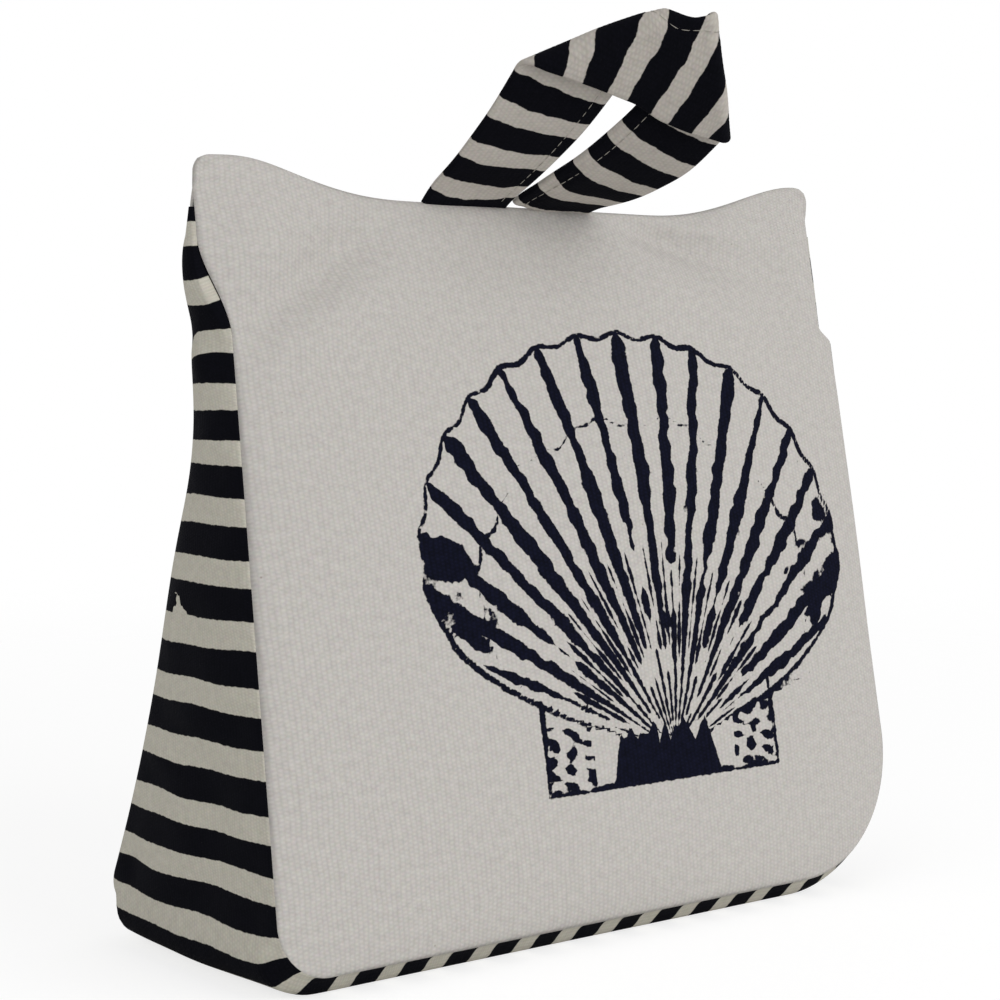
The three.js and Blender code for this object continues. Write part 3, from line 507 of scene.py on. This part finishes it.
def strip_grid():
    """Lines from front to back seam, pushed out by sin(pi h)^0.6 (4a(1-a))^0.7 and down to the floor."""
    run, reach = strip_run()
    even = np.linspace(0, 1, STRIP_COLUMNS)
    across = 0.35 * (0.5 - 0.5 * np.cos(np.pi * even)) + 0.65 * even
    x, up = run[:, :1], run[:, 1:]
    steps = np.pad(np.gradient(run, axis=0) * [1, SLOPE_UP], ((4, 4), (0, 0)), "edge")
    along = unit(np.stack([np.convolve(steps[:, k], np.ones(9) / 9, "valid") for k in (0, 1)], axis=-1))
    out = np.stack([along[:, 1], 0 * along[:, 0], -along[:, 0]], axis=-1)[:, None, :]
    down = np.clip(-out[..., 2], 0, 1)
    height = np.clip(up / SLOPE, 0, 1)
    side_push = SIDE_PUFF * np.sin(np.pi * height) ** 0.6 * (4 * across * (1 - across)) ** 0.7
    room = panel_depth(-1, x, up) + panel_depth(1, x, up)
    edge = smooth(np.minimum(across, 1 - across) * room / 12)
    crease = 1.0 * np.exp(-((up - 163) / 5) ** 2) - 1.8 * np.exp(-((up - 184) / 10) ** 2) * across
    soft = 0.9 * sum(waves(across * room, reach[:, None], *kind) for kind in ((60, 61), (24, 62)))
    side_push = side_push + edge * (soft - crease * smooth(room / 20))
    foot_push = LIFT * smooth(np.minimum(across, 1 - across) / 0.09)
    corner = CORNER_PUFF * (2 * down * np.sqrt(1 - down ** 2)) ** 4 * np.sqrt(4 * across * (1 - across))
    push = ((1 - down) * side_push + down * foot_push + corner)[..., None]
    front, back = seam_place(-1, x, up), seam_place(1, x, up)
    points = front * (1 - across[None, :, None]) + back * across[None, :, None] + out * push
    points[..., 2] = np.maximum(points[..., 2], 0.0)
    return points, np.stack([across * room, reach[:, None] + 0 * across * room], axis=-1)


points, flat = strip_grid()
across, along = flat[..., 0], printed_place(flat[..., 1])
pulled = 7.0 * dent(across, flat[..., 1], (23, 44), (9, 5))
printed = stripe_depth(along - pulled + 0.45 * waves(across, along, 34, 63), **GUSSET_STRIPES)
missed = dent(across, flat[..., 1], (35.5, 122.5), (1.7, 5.0), 28)  # the roller skipped a spot
missed += dent(across, flat[..., 1], (37.6, 126), (3.2, 1.3), 10)
printed -= 9.0 * np.maximum(0.0, missed + 0.5 * waves(across, along, 3, 64) * missed - 0.3)
strip = cloth("striped_strip_cloth", points, flat, fields={"ink_depth": printed})
print("strip length, mm:", round(float(flat[-1, 0, 1]), 1))

# %% [markdown]
# ## The carrying strap
# The strap takes the most skill: a doubled ribbon that rises from one foot, folds over a mitred turn,
# crosses, folds again and comes down to the other foot. It could be modelled face by face, but here a
# flat ribbon is first folded by reflection, each turn rolling round a small radius, and the folded
# shape is then leaned forward over the panel.

# %% Strap
STRAP_WIDTH, STRAP_THICK, TURN_RADIUS = 34.0, 2.4, 2.6
STRAP_STRIPES = dict(first=-3.3, pitch=16.2, dark=9.3)
STITCH_IN = 12.5  # from the middle line to the row of stitches
UNDERSIDE_AT = 40.0  # how far aside the underside lies on the flat pattern
FOOT_AT = (STRAP_WIDTH + 1.0) / 2
KNOTS = np.array([[-FOOT_AT, 0], [-FOOT_AT - 3.6, 77.5], [FOOT_AT + 6.2, 81.5], [FOOT_AT, 0]], dtype=float)
# Shift of the strap, height of its turns, how far it drifts right and closes on the way up
STRAP_SHIFT, STRAP_RISE, DRIFT, CLOSE = -10.5, 79.5, 7.5, 0.15
LEAN_FOOT, LEAN_TOP, TWIST, HANG = 67.5, 56.5, 6.3, 3.4  # degrees, the last in mm
WAYS = unit(np.diff(KNOTS, axis=0))
LENGTHS = np.linalg.norm(np.diff(KNOTS, axis=0), axis=1)
STARTS = np.concatenate([[0], np.cumsum(LENGTHS)])
TURN_HALF = math.pi * TURN_RADIUS / 2


def on_leg(k, along, across):
    """Start of the leg + (along - its start) * its way + across * its side way."""
    side = np.array([WAYS[k][1], -WAYS[k][0]]) * (-1 if k == 1 else 1)
    return KNOTS[k] + (along - STARTS[k])[..., None] * WAYS[k] + across[..., None] * side


def folded(along, across):
    """Flat folded place and layer height; within a turn the ribbon rolls round half a circle."""
    place, layer = on_leg(0, along, across), np.zeros_like(along)
    for k in (0, 1):
        crease = unit(WAYS[k] + WAYS[k + 1])
        past = np.array([-crease[1], crease[0]])
        past = past * np.sign(past @ WAYS[k])
        over = (on_leg(k, along, across) - KNOTS[k + 1]) @ past
        kept = (on_leg(k, along, across) - KNOTS[k + 1]) @ crease
        angle = (np.clip(over, -TURN_HALF, TURN_HALF) + TURN_HALF) / TURN_RADIUS
        forward = TURN_RADIUS * np.sin(angle) - TURN_HALF
        rolled = KNOTS[k + 1] + kept[..., None] * crease + forward[..., None] * past
        turned = TURN_RADIUS * (1 - np.cos(angle))
        in_turn, beyond = np.abs(over) < TURN_HALF, over >= TURN_HALF
        after = on_leg(k + 1, along, across)
        place = np.where(in_turn[..., None], rolled, np.where(beyond[..., None], after, place))
        top = turned if k == 0 else 2 * TURN_RADIUS - turned
        layer = np.where(in_turn, top, np.where(beyond, 2 * TURN_RADIUS * (k == 0), layer))
    return place, layer


def turn_ends(k):
    """The two ends of the crease of a turn, the one further from the middle of the strap last."""
    crease = unit(WAYS[k] + WAYS[k + 1])
    side = np.array([WAYS[k][1], -WAYS[k][0]])
    ends = KNOTS[k + 1] + np.array([[-1], [1]]) * crease * STRAP_WIDTH / 2 / abs(crease @ side)
    return ends[np.argsort(np.linalg.norm(ends - [0, 40], axis=1))]


def near_end(place, end, reach):
    """exp(-(distance / reach)^2) round a place on the flat fold."""
    return np.exp(-(np.linalg.norm(place - end, axis=-1) / reach) ** 2)


def soften_tip(place):
    """The upper tip of the first turn is drawn in by 3.5 mm towards the turn."""
    tip = turn_ends(0)[1]
    return place + 3.5 * near_end(place, tip, 8)[..., None] * unit(KNOTS[1] - tip)


def strap_middle(along, across):
    """Folded place leaned by 67 to 56 degrees from upright and twisted, its right leg hanging low."""
    place, layer = folded(along, across)
    place = soften_tip(place)
    sideways, rise = place[..., 0], place[..., 1]
    share = rise / STRAP_RISE
    lean = np.radians(LEAN_FOOT - (LEAN_FOOT - LEAN_TOP) * share + TWIST * sideways / FOOT_AT)
    seat = LIFT + TOP_MIDDLE * SLOPE_UP + 0.3 + STRAP_THICK / 2 * math.sin(math.radians(LEAN_FOOT))
    first_top, (far_tip, second_top) = turn_ends(0)[1], turn_ends(1)
    x = STRAP_SHIFT + sideways * (1 - CLOSE * share) + DRIFT * share
    x = x + 2.5 * near_end(place, first_top, 9)
    y = -rise * np.sin(lean) - layer * np.cos(lean)
    tucked = 1.5 * np.clip(1 - rise / 9, 0, 1.3) ** 2
    hung = HANG * np.sin(np.pi * np.clip(share, 0, 1)) * smooth((sideways + 1) / 12)
    hung += 1.6 * near_end(place, first_top, 9) - 3.2 * near_end(place, second_top, 10)
    hung -= 2.6 * near_end(place, far_tip, 14)
    z = seat + rise * np.cos(lean) - layer * np.sin(lean) - tucked - hung
    return np.stack([x, y, z], axis=-1)


def strap_frame(along, across):
    """Middle of the ribbon and its unit normal, from short steps along and across."""
    ahead = strap_middle(along + 0.2, across) - strap_middle(along - 0.2, across)
    aside = strap_middle(along, across + 0.2) - strap_middle(along, across - 0.2)
    return strap_middle(along, across), unit(np.cross(ahead, aside))


def strap_grid():
    """A flat-sided ring with round edges is carried along the ribbon; seam puckers pull its faces in."""
    half, thick = STRAP_WIDTH / 2, STRAP_THICK / 2
    face = np.linspace(-half + thick, half - thick, 26)
    turn = np.linspace(-np.pi / 2, np.pi / 2, 9)[1:-1]
    bulge = thick * np.cos(turn)
    across = np.concatenate([face, half - thick + bulge[::-1], face[::-1], -half + thick - bulge])
    flat_lift = np.full(26, thick)
    lift = np.concatenate([flat_lift, thick * np.sin(turn[::-1]), -flat_lift, thick * np.sin(turn)])
    rows = np.linspace(0, 1, 330)[:, None]
    tilt_start, tilt_end = WAYS[0][0] / WAYS[0][1], WAYS[2][0] / WAYS[2][1]
    start = tilt_start * across
    end = STARTS[3] - tilt_end * across
    along = start + (end - start) * rows
    across = np.broadcast_to(across, along.shape)
    lift = np.broadcast_to(lift, along.shape)
    pucker = 0.28 * np.exp(-((across - STITCH_IN) / 0.9) ** 2) * (np.abs(lift) > thick * 0.99)
    soft = 0.25 * waves(along, across, 22, 71)
    middle, normal = strap_frame(along, across)
    points = middle + normal * (lift - np.sign(lift) * pucker + soft)[..., None]
    return points, np.stack([across + UNDERSIDE_AT * (lift < 0), along], axis=-1)


points, flat = strap_grid()
across = (flat[..., 0] + UNDERSIDE_AT / 2) % UNDERSIDE_AT - UNDERSIDE_AT / 2
along = flat[..., 1]
sag = 2.4 * (1 - (across / (STRAP_WIDTH / 2)) ** 2) * np.cos(np.pi * along / STARTS[3])
sag += 0.6 * waves(across, along, 38, 72) + 0.35 * waves(across, along, 12, 73)
printed = stripe_depth(along + sag, **STRAP_STRIPES)
strap = tube("strap_cloth", points, flat.reshape(-1, 2), {"ink_depth": printed})
print("strap length, mm:", round(float(STARTS[3]), 1))

# %% [markdown]
# ## Stitching on the strap
# A row of thread runs 4.5 mm in from one edge, on both faces. Each stitch is a short tapered bead of a
# few faces, and all are worked out together by repeating one shape along the ribbon.

# %% Stitches
STITCH_PITCH, STITCH_HALF, THREAD = 3.4, 1.25, 0.14


def stitch_grid(face):
    """Bead: radius * sqrt(1 - 0.85 t^2) round a line that follows the ribbon, for every stitch at once."""
    centres = np.arange(4.0, STARTS[3] - 3.0, STITCH_PITCH)
    t = np.linspace(-1, 1, 5)
    turn = np.linspace(0, 2 * np.pi, 6, endpoint=False)
    along = (centres[:, None, None] + STITCH_HALF * t[None, :, None]) * np.ones((1, 1, 6))
    across = np.full(along.shape, STITCH_IN)
    middle, normal = strap_frame(along, across)
    aside = unit(strap_middle(along, across + 0.2) - middle)
    radius = (THREAD * np.sqrt(1 - 0.85 * t ** 2))[None, :, None]
    lift = face * (STRAP_THICK / 2 - 0.12) + radius * np.cos(turn)
    return middle + normal * lift[..., None] + aside * (radius * np.sin(turn))[..., None]


beads, rings = [], []
for face in (-1, 1):
    grid = stitch_grid(face)
    count, bands, sides = grid.shape[:3]
    index = np.arange(grid[..., 0].size).reshape(count, bands, sides) + sum(len(b) for b in beads)
    after = np.roll(index, -1, axis=2)
    walls = np.stack([index[:, :-1], after[:, :-1], after[:, 1:], index[:, 1:]], axis=-1).reshape(-1, 4)
    rings += walls.tolist() + index[:, 0, ::-1].tolist() + index[:, -1].tolist()
    beads.append(grid.reshape(-1, 3))
stitches = make_piece("strap_stitching", np.concatenate(beads), rings)

# %% [markdown]
# ## What is inside
# The sand pouch and the fibre can't be seen, so they are plain: a crowned cushion on the foot of the bag
# and a soft wad that keeps a few millimetres inside the two panels.

# %% Sand pouch and fibre
POUCH_AT, POUCH_HALF, POUCH_HEIGHT = -9, (99, 43), 44
WAD_FOOT, WAD_TOP, WAD_ROOM = 46, 196, 7


def pouch_grid(rows=26, columns=72):
    """Cushion: a squared oval, powers 0.55 of cos and sin, times sin(rise)^0.3 from flat foot to crown."""
    turn = np.linspace(0, 2 * np.pi, columns, endpoint=False)
    rise, angle = np.meshgrid(np.linspace(0, 1, rows), turn, indexing="ij")
    size = np.sin(np.pi * (0.06 + 0.88 * rise)) ** 0.3
    squared = lambda value: np.sign(value) * np.abs(value) ** 0.55
    x = POUCH_AT + POUCH_HALF[0] * size * squared(np.cos(angle))
    y = POUCH_HALF[1] * size * squared(np.sin(angle))
    z = 1.5 + POUCH_HEIGHT * smooth(rise) + 0.5 * waves(x, y, 30, 81) * rise
    return np.stack([x, y, z], axis=-1)


def wad_grid(rows=40, columns=60):
    """Rings that follow the panels 7 mm further in, from the pouch up to where the filling ends."""
    up = np.linspace(WAD_FOOT, WAD_TOP, rows)[:, None]
    left, right = side_seam(LEFT, up) + WAD_ROOM + 2, side_seam(RIGHT, up) - WAD_ROOM - 2
    share = 0.5 - 0.5 * np.cos(np.pi * np.linspace(0, 1, columns))
    x = left + (right - left) * share
    sides = []
    for facing in (-1, 1):
        push = panel_push(facing, x, up + 0 * x) - WAD_ROOM + 0.8 * waves(x, up + 0 * x, 16, 90 + facing)
        y = facing * np.maximum(panel_depth(facing, x, up) + push * SLOPE_UP, 1.0)
        sides.append(np.stack([x, y, LIFT + up * SLOPE_UP + 0 * x], axis=-1))
    return np.concatenate([sides[0], sides[1][:, ::-1]], axis=1)


pouch, wad = tube("sand_pouch", pouch_grid()), tube("fibre_wad", wad_grid())

# %% [markdown]
# ## The studio floor
# The bag stands on a sheet of white paper. A curved backdrop would do as well, but a flat square that
# fades out into the white room leaves no edge, and it keeps the soft shadow under the bag.

# %% Floor
floor_mesh = bpy.data.meshes.new("studio_floor")
floor_mesh.from_pydata([(-3, -3, 0), (3, -3, 0), (3, 3, 0), (-3, 3, 0)], [], [(0, 1, 2, 3)])
floor = bpy.data.objects.new("studio_floor", floor_mesh)
bpy.context.scene.collection.objects.link(floor)
print("floor:", [round(c, 2) for c in floor.dimensions], "m")

# %% [markdown]
# ## Colours and nodes
# Colours are written as they look on a screen and turned into light values by one function. A second
# function adds a node with its settings and links in one line, which keeps each material short.

# %% Colour and node helpers
def linear(code):
    """sRGB hex to linear colour, by the sRGB curve."""
    values = [int(code[k:k + 2], 16) / 255 for k in (1, 3, 5)]
    return [v / 12.92 if v <= 0.04045 else ((v + 0.055) / 1.055) ** 2.4 for v in values] + [1.0]


def shaded(code, share):
    """A share of the light of a colour."""
    return [c * share for c in linear(code)[:3]] + [1.0]


def add(tree, kind, inputs=None, **settings):
    """One shader node: settings are its properties, inputs its sockets, each a value or a socket."""
    node = tree.nodes.new("ShaderNode" + kind)
    for key, value in settings.items():
        setattr(node, key, value)
    for key, value in (inputs or {}).items():
        if isinstance(value, bpy.types.NodeSocket):
            tree.links.new(value, node.inputs[key])
        else:
            node.inputs[key].default_value = value
    return node


def new_material(name):
    """Empty node material with its surface output."""
    material = bpy.data.materials.new(name)
    material.use_nodes = True
    material.node_tree.nodes.clear()
    return material, material.node_tree, add(material.node_tree, "OutputMaterial")


print("middle grey is", [round(c, 3) for c in linear("#808080")[:3]], "of full light")

# %% [markdown]
# ## The weave
# Cotton duck has two warp threads side by side over one weft, so its surface shows upright ribs with a
# finer step along them. Two sine waves on the flat pattern make both, and a slow noise bends the rows a
# little, because real threads never run quite straight. The ribs stand 1.7 mm apart on the front panel,
# counted in the photograph, and 1.3 mm apart on the strip.

# %% Weave
WEFTS_PER_WARP = 2.7  # wefts in the width of one pair of warps


def duck_weave(tree, flat, warp):
    """Height 0.44 |sin u| + 0.28 + 0.28 sin u sin v on flat metres: paired warps, over and under wefts."""
    waver = add(tree, "TexNoise", {"Vector": flat, "Scale": 45.0, "Detail": 2.0}).outputs["Color"]
    moved = add(tree, "VectorMath", {0: waver, 1: (0.0030, 0.0030, 0.0)}, operation="MULTIPLY").outputs[0]
    place = add(tree, "VectorMath", {0: flat, 1: moved}, operation="ADD").outputs[0]
    turns = (math.pi / warp, math.pi * WEFTS_PER_WARP / warp, 0.0)
    angle = add(tree, "VectorMath", {0: place, 1: turns}, operation="MULTIPLY").outputs[0]
    parts = add(tree, "SeparateXYZ", {0: angle}).outputs
    columns = add(tree, "Math", {0: parts[0]}, operation="SINE").outputs[0]
    rows = add(tree, "Math", {0: parts[1]}, operation="SINE").outputs[0]
    ribs = add(tree, "Math", {0: columns}, operation="ABSOLUTE").outputs[0]
    over = add(tree, "Math", {0: columns, 1: rows}, operation="MULTIPLY").outputs[0]
    under = add(tree, "Math", {0: over, 1: 0.28, 2: 0.28}, operation="MULTIPLY_ADD").outputs[0]
    return add(tree, "Math", {0: ribs, 1: 0.44, 2: under}, operation="MULTIPLY_ADD").outputs[0]


print("wefts, mm:", round(1.7 / WEFTS_PER_WARP, 2), "apart on the front")

# %% [markdown]
# ## The lines of the fan
# The ribs of the scallop meet at the hinge, where they are thinner than a step of the grid. So the
# material measures the arc to the nearest rib itself, from the angle and the radius about the hinge,
# and takes only the width of the rib from the grid.

# %% Fan lines
def fan_lines(tree, flat):
    """Depth in the ribs and the fine lines: their width less the arc to the middle of the nearest."""
    hinge = (UMBO[0] / 1000, UMBO[1] / 1000, 0)
    from_hinge = add(tree, "VectorMath", {0: flat, 1: hinge}, operation="SUBTRACT").outputs[0]
    parts = add(tree, "SeparateXYZ", {0: from_hinge}).outputs
    angle = add(tree, "Math", {0: parts[0], 1: parts[1]}, operation="ARCTAN2").outputs[0]
    steps = add(tree, "Math", {0: angle, 1: RIB_SPACING}, operation="DIVIDE").outputs[0]
    off_rib = add(tree, "Math", {0: steps, 1: 0.5}, operation="PINGPONG").outputs[0]
    off_line = add(tree, "Math", {0: 0.5, 1: off_rib}, operation="SUBTRACT").outputs[0]
    radius = add(tree, "VectorMath", {0: from_hinge}, operation="LENGTH").outputs["Value"]
    arc = add(tree, "Math", {0: radius, 1: -1000 * RIB_SPACING}, operation="MULTIPLY").outputs[0]
    depths = []
    for off, field in ((off_rib, "rib_width"), (off_line, "line_width")):
        width = add(tree, "Attribute", attribute_name=field).outputs["Fac"]
        depths.append(add(tree, "Math", {0: off, 1: arc, 2: width}, operation="MULTIPLY_ADD").outputs[0])
    return add(tree, "Math", {0: depths[0], 1: depths[1]}, operation="MAXIMUM").outputs[0]


print("ribs:", RIB_COUNT, "at", round(math.degrees(RIB_SPACING), 2), "degrees")

# %% [markdown]
# ## Printed canvas
# One recipe dresses the panels, the strip and the strap. The real cloth is unbleached cotton with small
# brown seed flecks, and its ink is a dull pigment that sinks in, so its edge is ragged by half a
# millimetre. The depth fields say where the ink lies, and a fine noise roughens their edge.

# %% Canvas
# The second colour is painted shade: the near black that the ink is painted in the weave's hollows.
SEED_BROWN, INK_PAINTED_SHADE = "#7d6a5c", "#06070b"


def ink_cover(tree, flat, ragged, fan):
    """1 where a depth field, roughened by noise, is above nought, with a soft edge of 0.24 mm."""
    depth = add(tree, "Attribute", attribute_name="ink_depth").outputs["Fac"]
    if fan:
        depth = add(tree, "Math", {0: depth, 1: fan_lines(tree, flat)}, operation="MAXIMUM").outputs[0]
    rough = add(tree, "TexNoise", {"Vector": flat, "Scale": 420.0, "Detail": 2.5}).outputs["Fac"]
    jag = add(tree, "Math", {0: rough, 1: ragged, 2: -ragged / 2}, operation="MULTIPLY_ADD").outputs[0]
    edge = add(tree, "Math", {0: depth, 1: jag}, operation="ADD").outputs[0]
    return add(tree, "MapRange", {0: edge, 1: -0.12, 2: 0.12}).outputs[0]


def canvas(name, ground, ink="#15172a", ragged=1.5, warp=0.0017, fan=False):
    """Woven cotton canvas, printed where the piece's ink depth is above nought, with painted shade in the
    weave's hollows and a painted highlight on its threads.
    """
    material, tree, output = new_material(name)
    flat = add(tree, "UVMap", uv_map="flat_pattern").outputs[0]
    fluff = add(tree, "TexNoise", {"Vector": flat, "Scale": 900.0, "Detail": 3.0}).outputs["Color"]
    lumps = {"Vector": flat, "Scale": 380.0, "Detail": 2.0, "Roughness": 0.6}
    slub = add(tree, "MapRange", {0: add(tree, "TexNoise", lumps).outputs["Fac"], 1: 0.3, 2: 0.7}).outputs[0]
    height = add(tree, "Mix", {0: 0.4, 2: duck_weave(tree, flat, warp), 3: slub}).outputs[0]
    # Painted shade and highlight of the weave: the cloth is painted at 0.78 of its colour in the hollows and
    # at 1.08 on the thread tops.
    lit_and_shaded_tones = {0: height, 6: shaded(ground, 0.78), 7: shaded(ground, 1.08)}
    hazed = {0: 0.15, 6: add(tree, "Mix", lit_and_shaded_tones, data_type="RGBA").outputs[2], 7: fluff}
    tinted = add(tree, "Mix", hazed, data_type="RGBA", blend_type="SOFT_LIGHT").outputs[2]
    cells = add(tree, "TexVoronoi", {"Vector": flat, "Scale": 75.0}).outputs["Distance"]
    fleck = add(tree, "MapRange", {0: cells, 1: 0.016, 2: 0.03, 3: 0.45, 4: 0.0}).outputs[0]
    seeded = add(tree, "Mix", {0: fleck, 6: tinted, 7: linear(SEED_BROWN)}, data_type="RGBA").outputs[2]
    # Painted shade of the weave on the ink: near black in the hollows, full ink on the thread tops.
    painted_ink_shade = add(tree, "Mix", {0: height, 6: linear(INK_PAINTED_SHADE), 7: linear(ink)}, data_type="RGBA").outputs[2]
    cover = ink_cover(tree, flat, ragged, fan)
    colour = add(tree, "Mix", {0: cover, 6: seeded, 7: painted_ink_shade}, data_type="RGBA").outputs[2]
    weave = add(tree, "Bump", {"Strength": 0.6, "Distance": 0.0003, "Height": height}).outputs[0]
    cloudy = add(tree, "TexNoise", {"Vector": flat, "Scale": 28.0, "Detail": 3.0}).outputs["Fac"]
    waved = {"Strength": 0.25, "Distance": 0.0006, "Height": cloudy, "Normal": weave}
    slack = add(tree, "Bump", waved).outputs[0]
    looks = {"Base Color": colour, "Roughness": 0.95, "Specular IOR Level": 0.06, "Normal": slack}
    shader = add(tree, "BsdfPrincipled", looks)
    tree.links.new(shader.outputs[0], output.inputs[0])
    return material


print("canvas recipe ready")

# %% [markdown]
# ## The four cloths
# - `printed_cotton_canvas`: natural cotton duck with navy pigment, for the front panel.
# - `plain_cotton_canvas`: the same cloth without print, for the back panel.
# - `striped_cotton_canvas`: a creamier, finer cloth with nearly black stripes, for the strip.
# - `striped_strap_canvas`: the strap's own cloth, a little greyer than the strip.

# %% Cloths
NATURAL, CREAM, GREYER, STRIPE_INK = "#c8c4bf", "#cac6b9", "#bfb9b1", "#0d0d14"
for piece, material in (
    (panels[-1], canvas("printed_cotton_canvas", NATURAL, fan=True)),
    (panels[1], canvas("plain_cotton_canvas", NATURAL)),
    (strip, canvas("striped_cotton_canvas", CREAM, ink=STRIPE_INK, ragged=0.8, warp=0.0013)),
    (strap, canvas("striped_strap_canvas", GREYER, ink=STRIPE_INK, ragged=0.9)),
):
    piece.data.materials.append(material)
    print(piece.name, "wears", material.name)

# %% [markdown]
# ## Thread, pouch and fibre
# Plain materials of small lumps that differ in size and colour:
# - `cotton_thread`: two-ply sewing thread, lumps of 0.6 mm.
# - `calico_sand_pouch`: thin unbleached calico, lumps of 2 mm.
# - `polyester_fibre`: white crimped fibre, soft lumps of 8 mm.

# %% Lumpy materials
def lumpy(name, colour, size, depth):
    """Plain undyed material of small lumps, of a size and depth in metres."""
    material, tree, output = new_material(name)
    place = add(tree, "TexCoord").outputs["Object"]
    lumps = add(tree, "TexNoise", {"Vector": place, "Scale": 1 / size, "Detail": 4.0}).outputs["Fac"]
    # Painted shade: the low places of the lumps, which the bump sinks, are painted at 0.8 of the colour.
    lit_and_shaded_tones = {0: lumps, 6: shaded(colour, 0.8), 7: linear(colour)}
    shade = add(tree, "Mix", lit_and_shaded_tones, data_type="RGBA").outputs[2]
    bump = add(tree, "Bump", {"Strength": 0.6, "Distance": depth, "Height": lumps}).outputs[0]
    shader = add(tree, "BsdfPrincipled", {"Base Color": shade, "Roughness": 0.95, "Normal": bump})
    tree.links.new(shader.outputs[0], output.inputs[0])
    return material


for piece, material in (
    (stitches, lumpy("cotton_thread", "#a9a59b", 0.0006, 0.0001)),
    (pouch, lumpy("calico_sand_pouch", "#b7a98c", 0.002, 0.0003)),
    (wad, lumpy("polyester_fibre", "#ebe9e2", 0.008, 0.003)),
):
    piece.data.materials.append(material)
    print(piece.name, "wears", material.name)

# %% [markdown]
# ## Paper
# `studio_paper` is matt white paper. For the camera it also glows a little, as an overlit backdrop does,
# and from 0.35 m to 1.2 m away from the bag it fades to clear, so that it has no visible end.

# %% Paper
material, tree, output = new_material("studio_paper")
matt = add(tree, "BsdfDiffuse", {"Color": linear("#f4f4f4")}).outputs[0]
glow = add(tree, "Emission", {"Color": (1, 1, 1, 1), "Strength": 1.25}).outputs[0]
clear = add(tree, "BsdfTransparent").outputs[0]
place = add(tree, "TexCoord").outputs["Object"]
distance = add(tree, "VectorMath", {0: place}, operation="LENGTH").outputs["Value"]
reach = {0: distance, 1: 0.35, 2: 1.2}
fade = add(tree, "MapRange", reach, interpolation_type="SMOOTHSTEP").outputs[0]
ray = add(tree, "LightPath").outputs["Is Camera Ray"]
seen = add(tree, "Math", {0: ray, 1: 0.6}, operation="MULTIPLY").outputs[0]
lit = add(tree, "MixShader", {0: seen, 1: matt, 2: glow}).outputs[0]
mixed = add(tree, "MixShader", {0: fade, 1: lit, 2: clear}).outputs[0]
tree.links.new(mixed, output.inputs[0])
floor.data.materials.append(material)
print("paper:", len(tree.nodes), "nodes")

# %% [markdown]
# ## The white room
# The room lights the bag from all sides at half strength, as a light tent does. What the camera sees of
# it is full white, and so is what a reflection or clear material would show.

# %% Room
world = bpy.data.worlds.new("studio_room")
bpy.context.scene.world = world
world.use_nodes = True
room = world.node_tree
room.nodes.clear()
ROOM_LIGHT = 0.505
rays = add(room, "LightPath").outputs
seen = add(room, "Math", {0: rays["Is Camera Ray"], 1: rays["Is Transmission Ray"]}, operation="MAXIMUM")
seen = add(room, "Math", {0: seen.outputs[0], 1: rays["Is Glossy Ray"]}, operation="MAXIMUM")
level = add(room, "MapRange", {0: seen.outputs[0], 3: ROOM_LIGHT, 4: 1.0}).outputs[0]
sky = add(room, "Background", {"Color": (1, 1, 1, 1), "Strength": level}).outputs[0]
add(room, "OutputWorld", {0: sky})
print("room light:", ROOM_LIGHT, "of white")

# %% [markdown]
# ## Lamps
# A wide soft lamp stands to the right of the camera, so that the front panel is bright and the striped
# side a shade darker, as in the photograph. A weak lamp on the left lifts that side a little.

# %% Lamps
def lamp(name, place, aim, size, power):
    """Square soft light at a place, turned towards its aim."""
    light = bpy.data.lights.new(name, "AREA")
    light.size, light.energy = size, power
    holder = bpy.data.objects.new(name, light)
    bpy.context.scene.collection.objects.link(holder)
    back = unit(np.array(place) - np.array(aim))
    side = unit(np.cross([0, 0, 1], back))
    holder.matrix_world = placed(side, np.cross(back, side), back, place)


lamp("key_light", (0.65, -1.8, 0.8), (0, 0, 0.12), 1.8, 20.5)
lamp("fill_light", (-1.6, -0.6, 0.8), (0, 0, 0.12), 1.2, 4)

bpy.context.scene.view_settings.view_transform = "Standard"
print("lamps:", [light.name for light in bpy.data.lights])

# %% [markdown]
# ## Tying the pieces to the frame
# Nothing on this bag turns or slides, so every piece rides on the root body. Each line of the table names the
# solids of the frame that the piece stands in for, which are hidden, and a material slot, which nothing uses.

# %% Tie
for piece, name, nodes in (
    (panels[-1], "panel_canvas", ["front_panel", "scallop_print"]),
    (panels[1], "panel_canvas", ["back_panel"]),
    (strip, "striped_canvas", ["gusset_strip"]),
    (strap, "striped_canvas", ["handle_strap"]),
    (stitches, "striped_canvas", []),
    (pouch, "pouch_cloth", ["sand_bag"]),
    (wad, "polyester_fibre", ["fibre_filling"]),
):
    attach(piece, "root")
    if nodes:
        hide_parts(*nodes)
    print(piece.name, "rides on the root body in slot", name)

# %% [markdown]
# ## Cloth and stuffing
# Sewn cloth comes from a flat cut. The panel and the strip are cut to the seams' own shape, so their
# flat grids are worked out once more here, the panel's on 60 by 60 points. In the bag the two panels and
# the strip are held out by the stuffing, the strap is folded, and the pouch and the wad fill it.


panel_cut = panel_flat(60, 60)
strip_flat = strip_grid()[1]
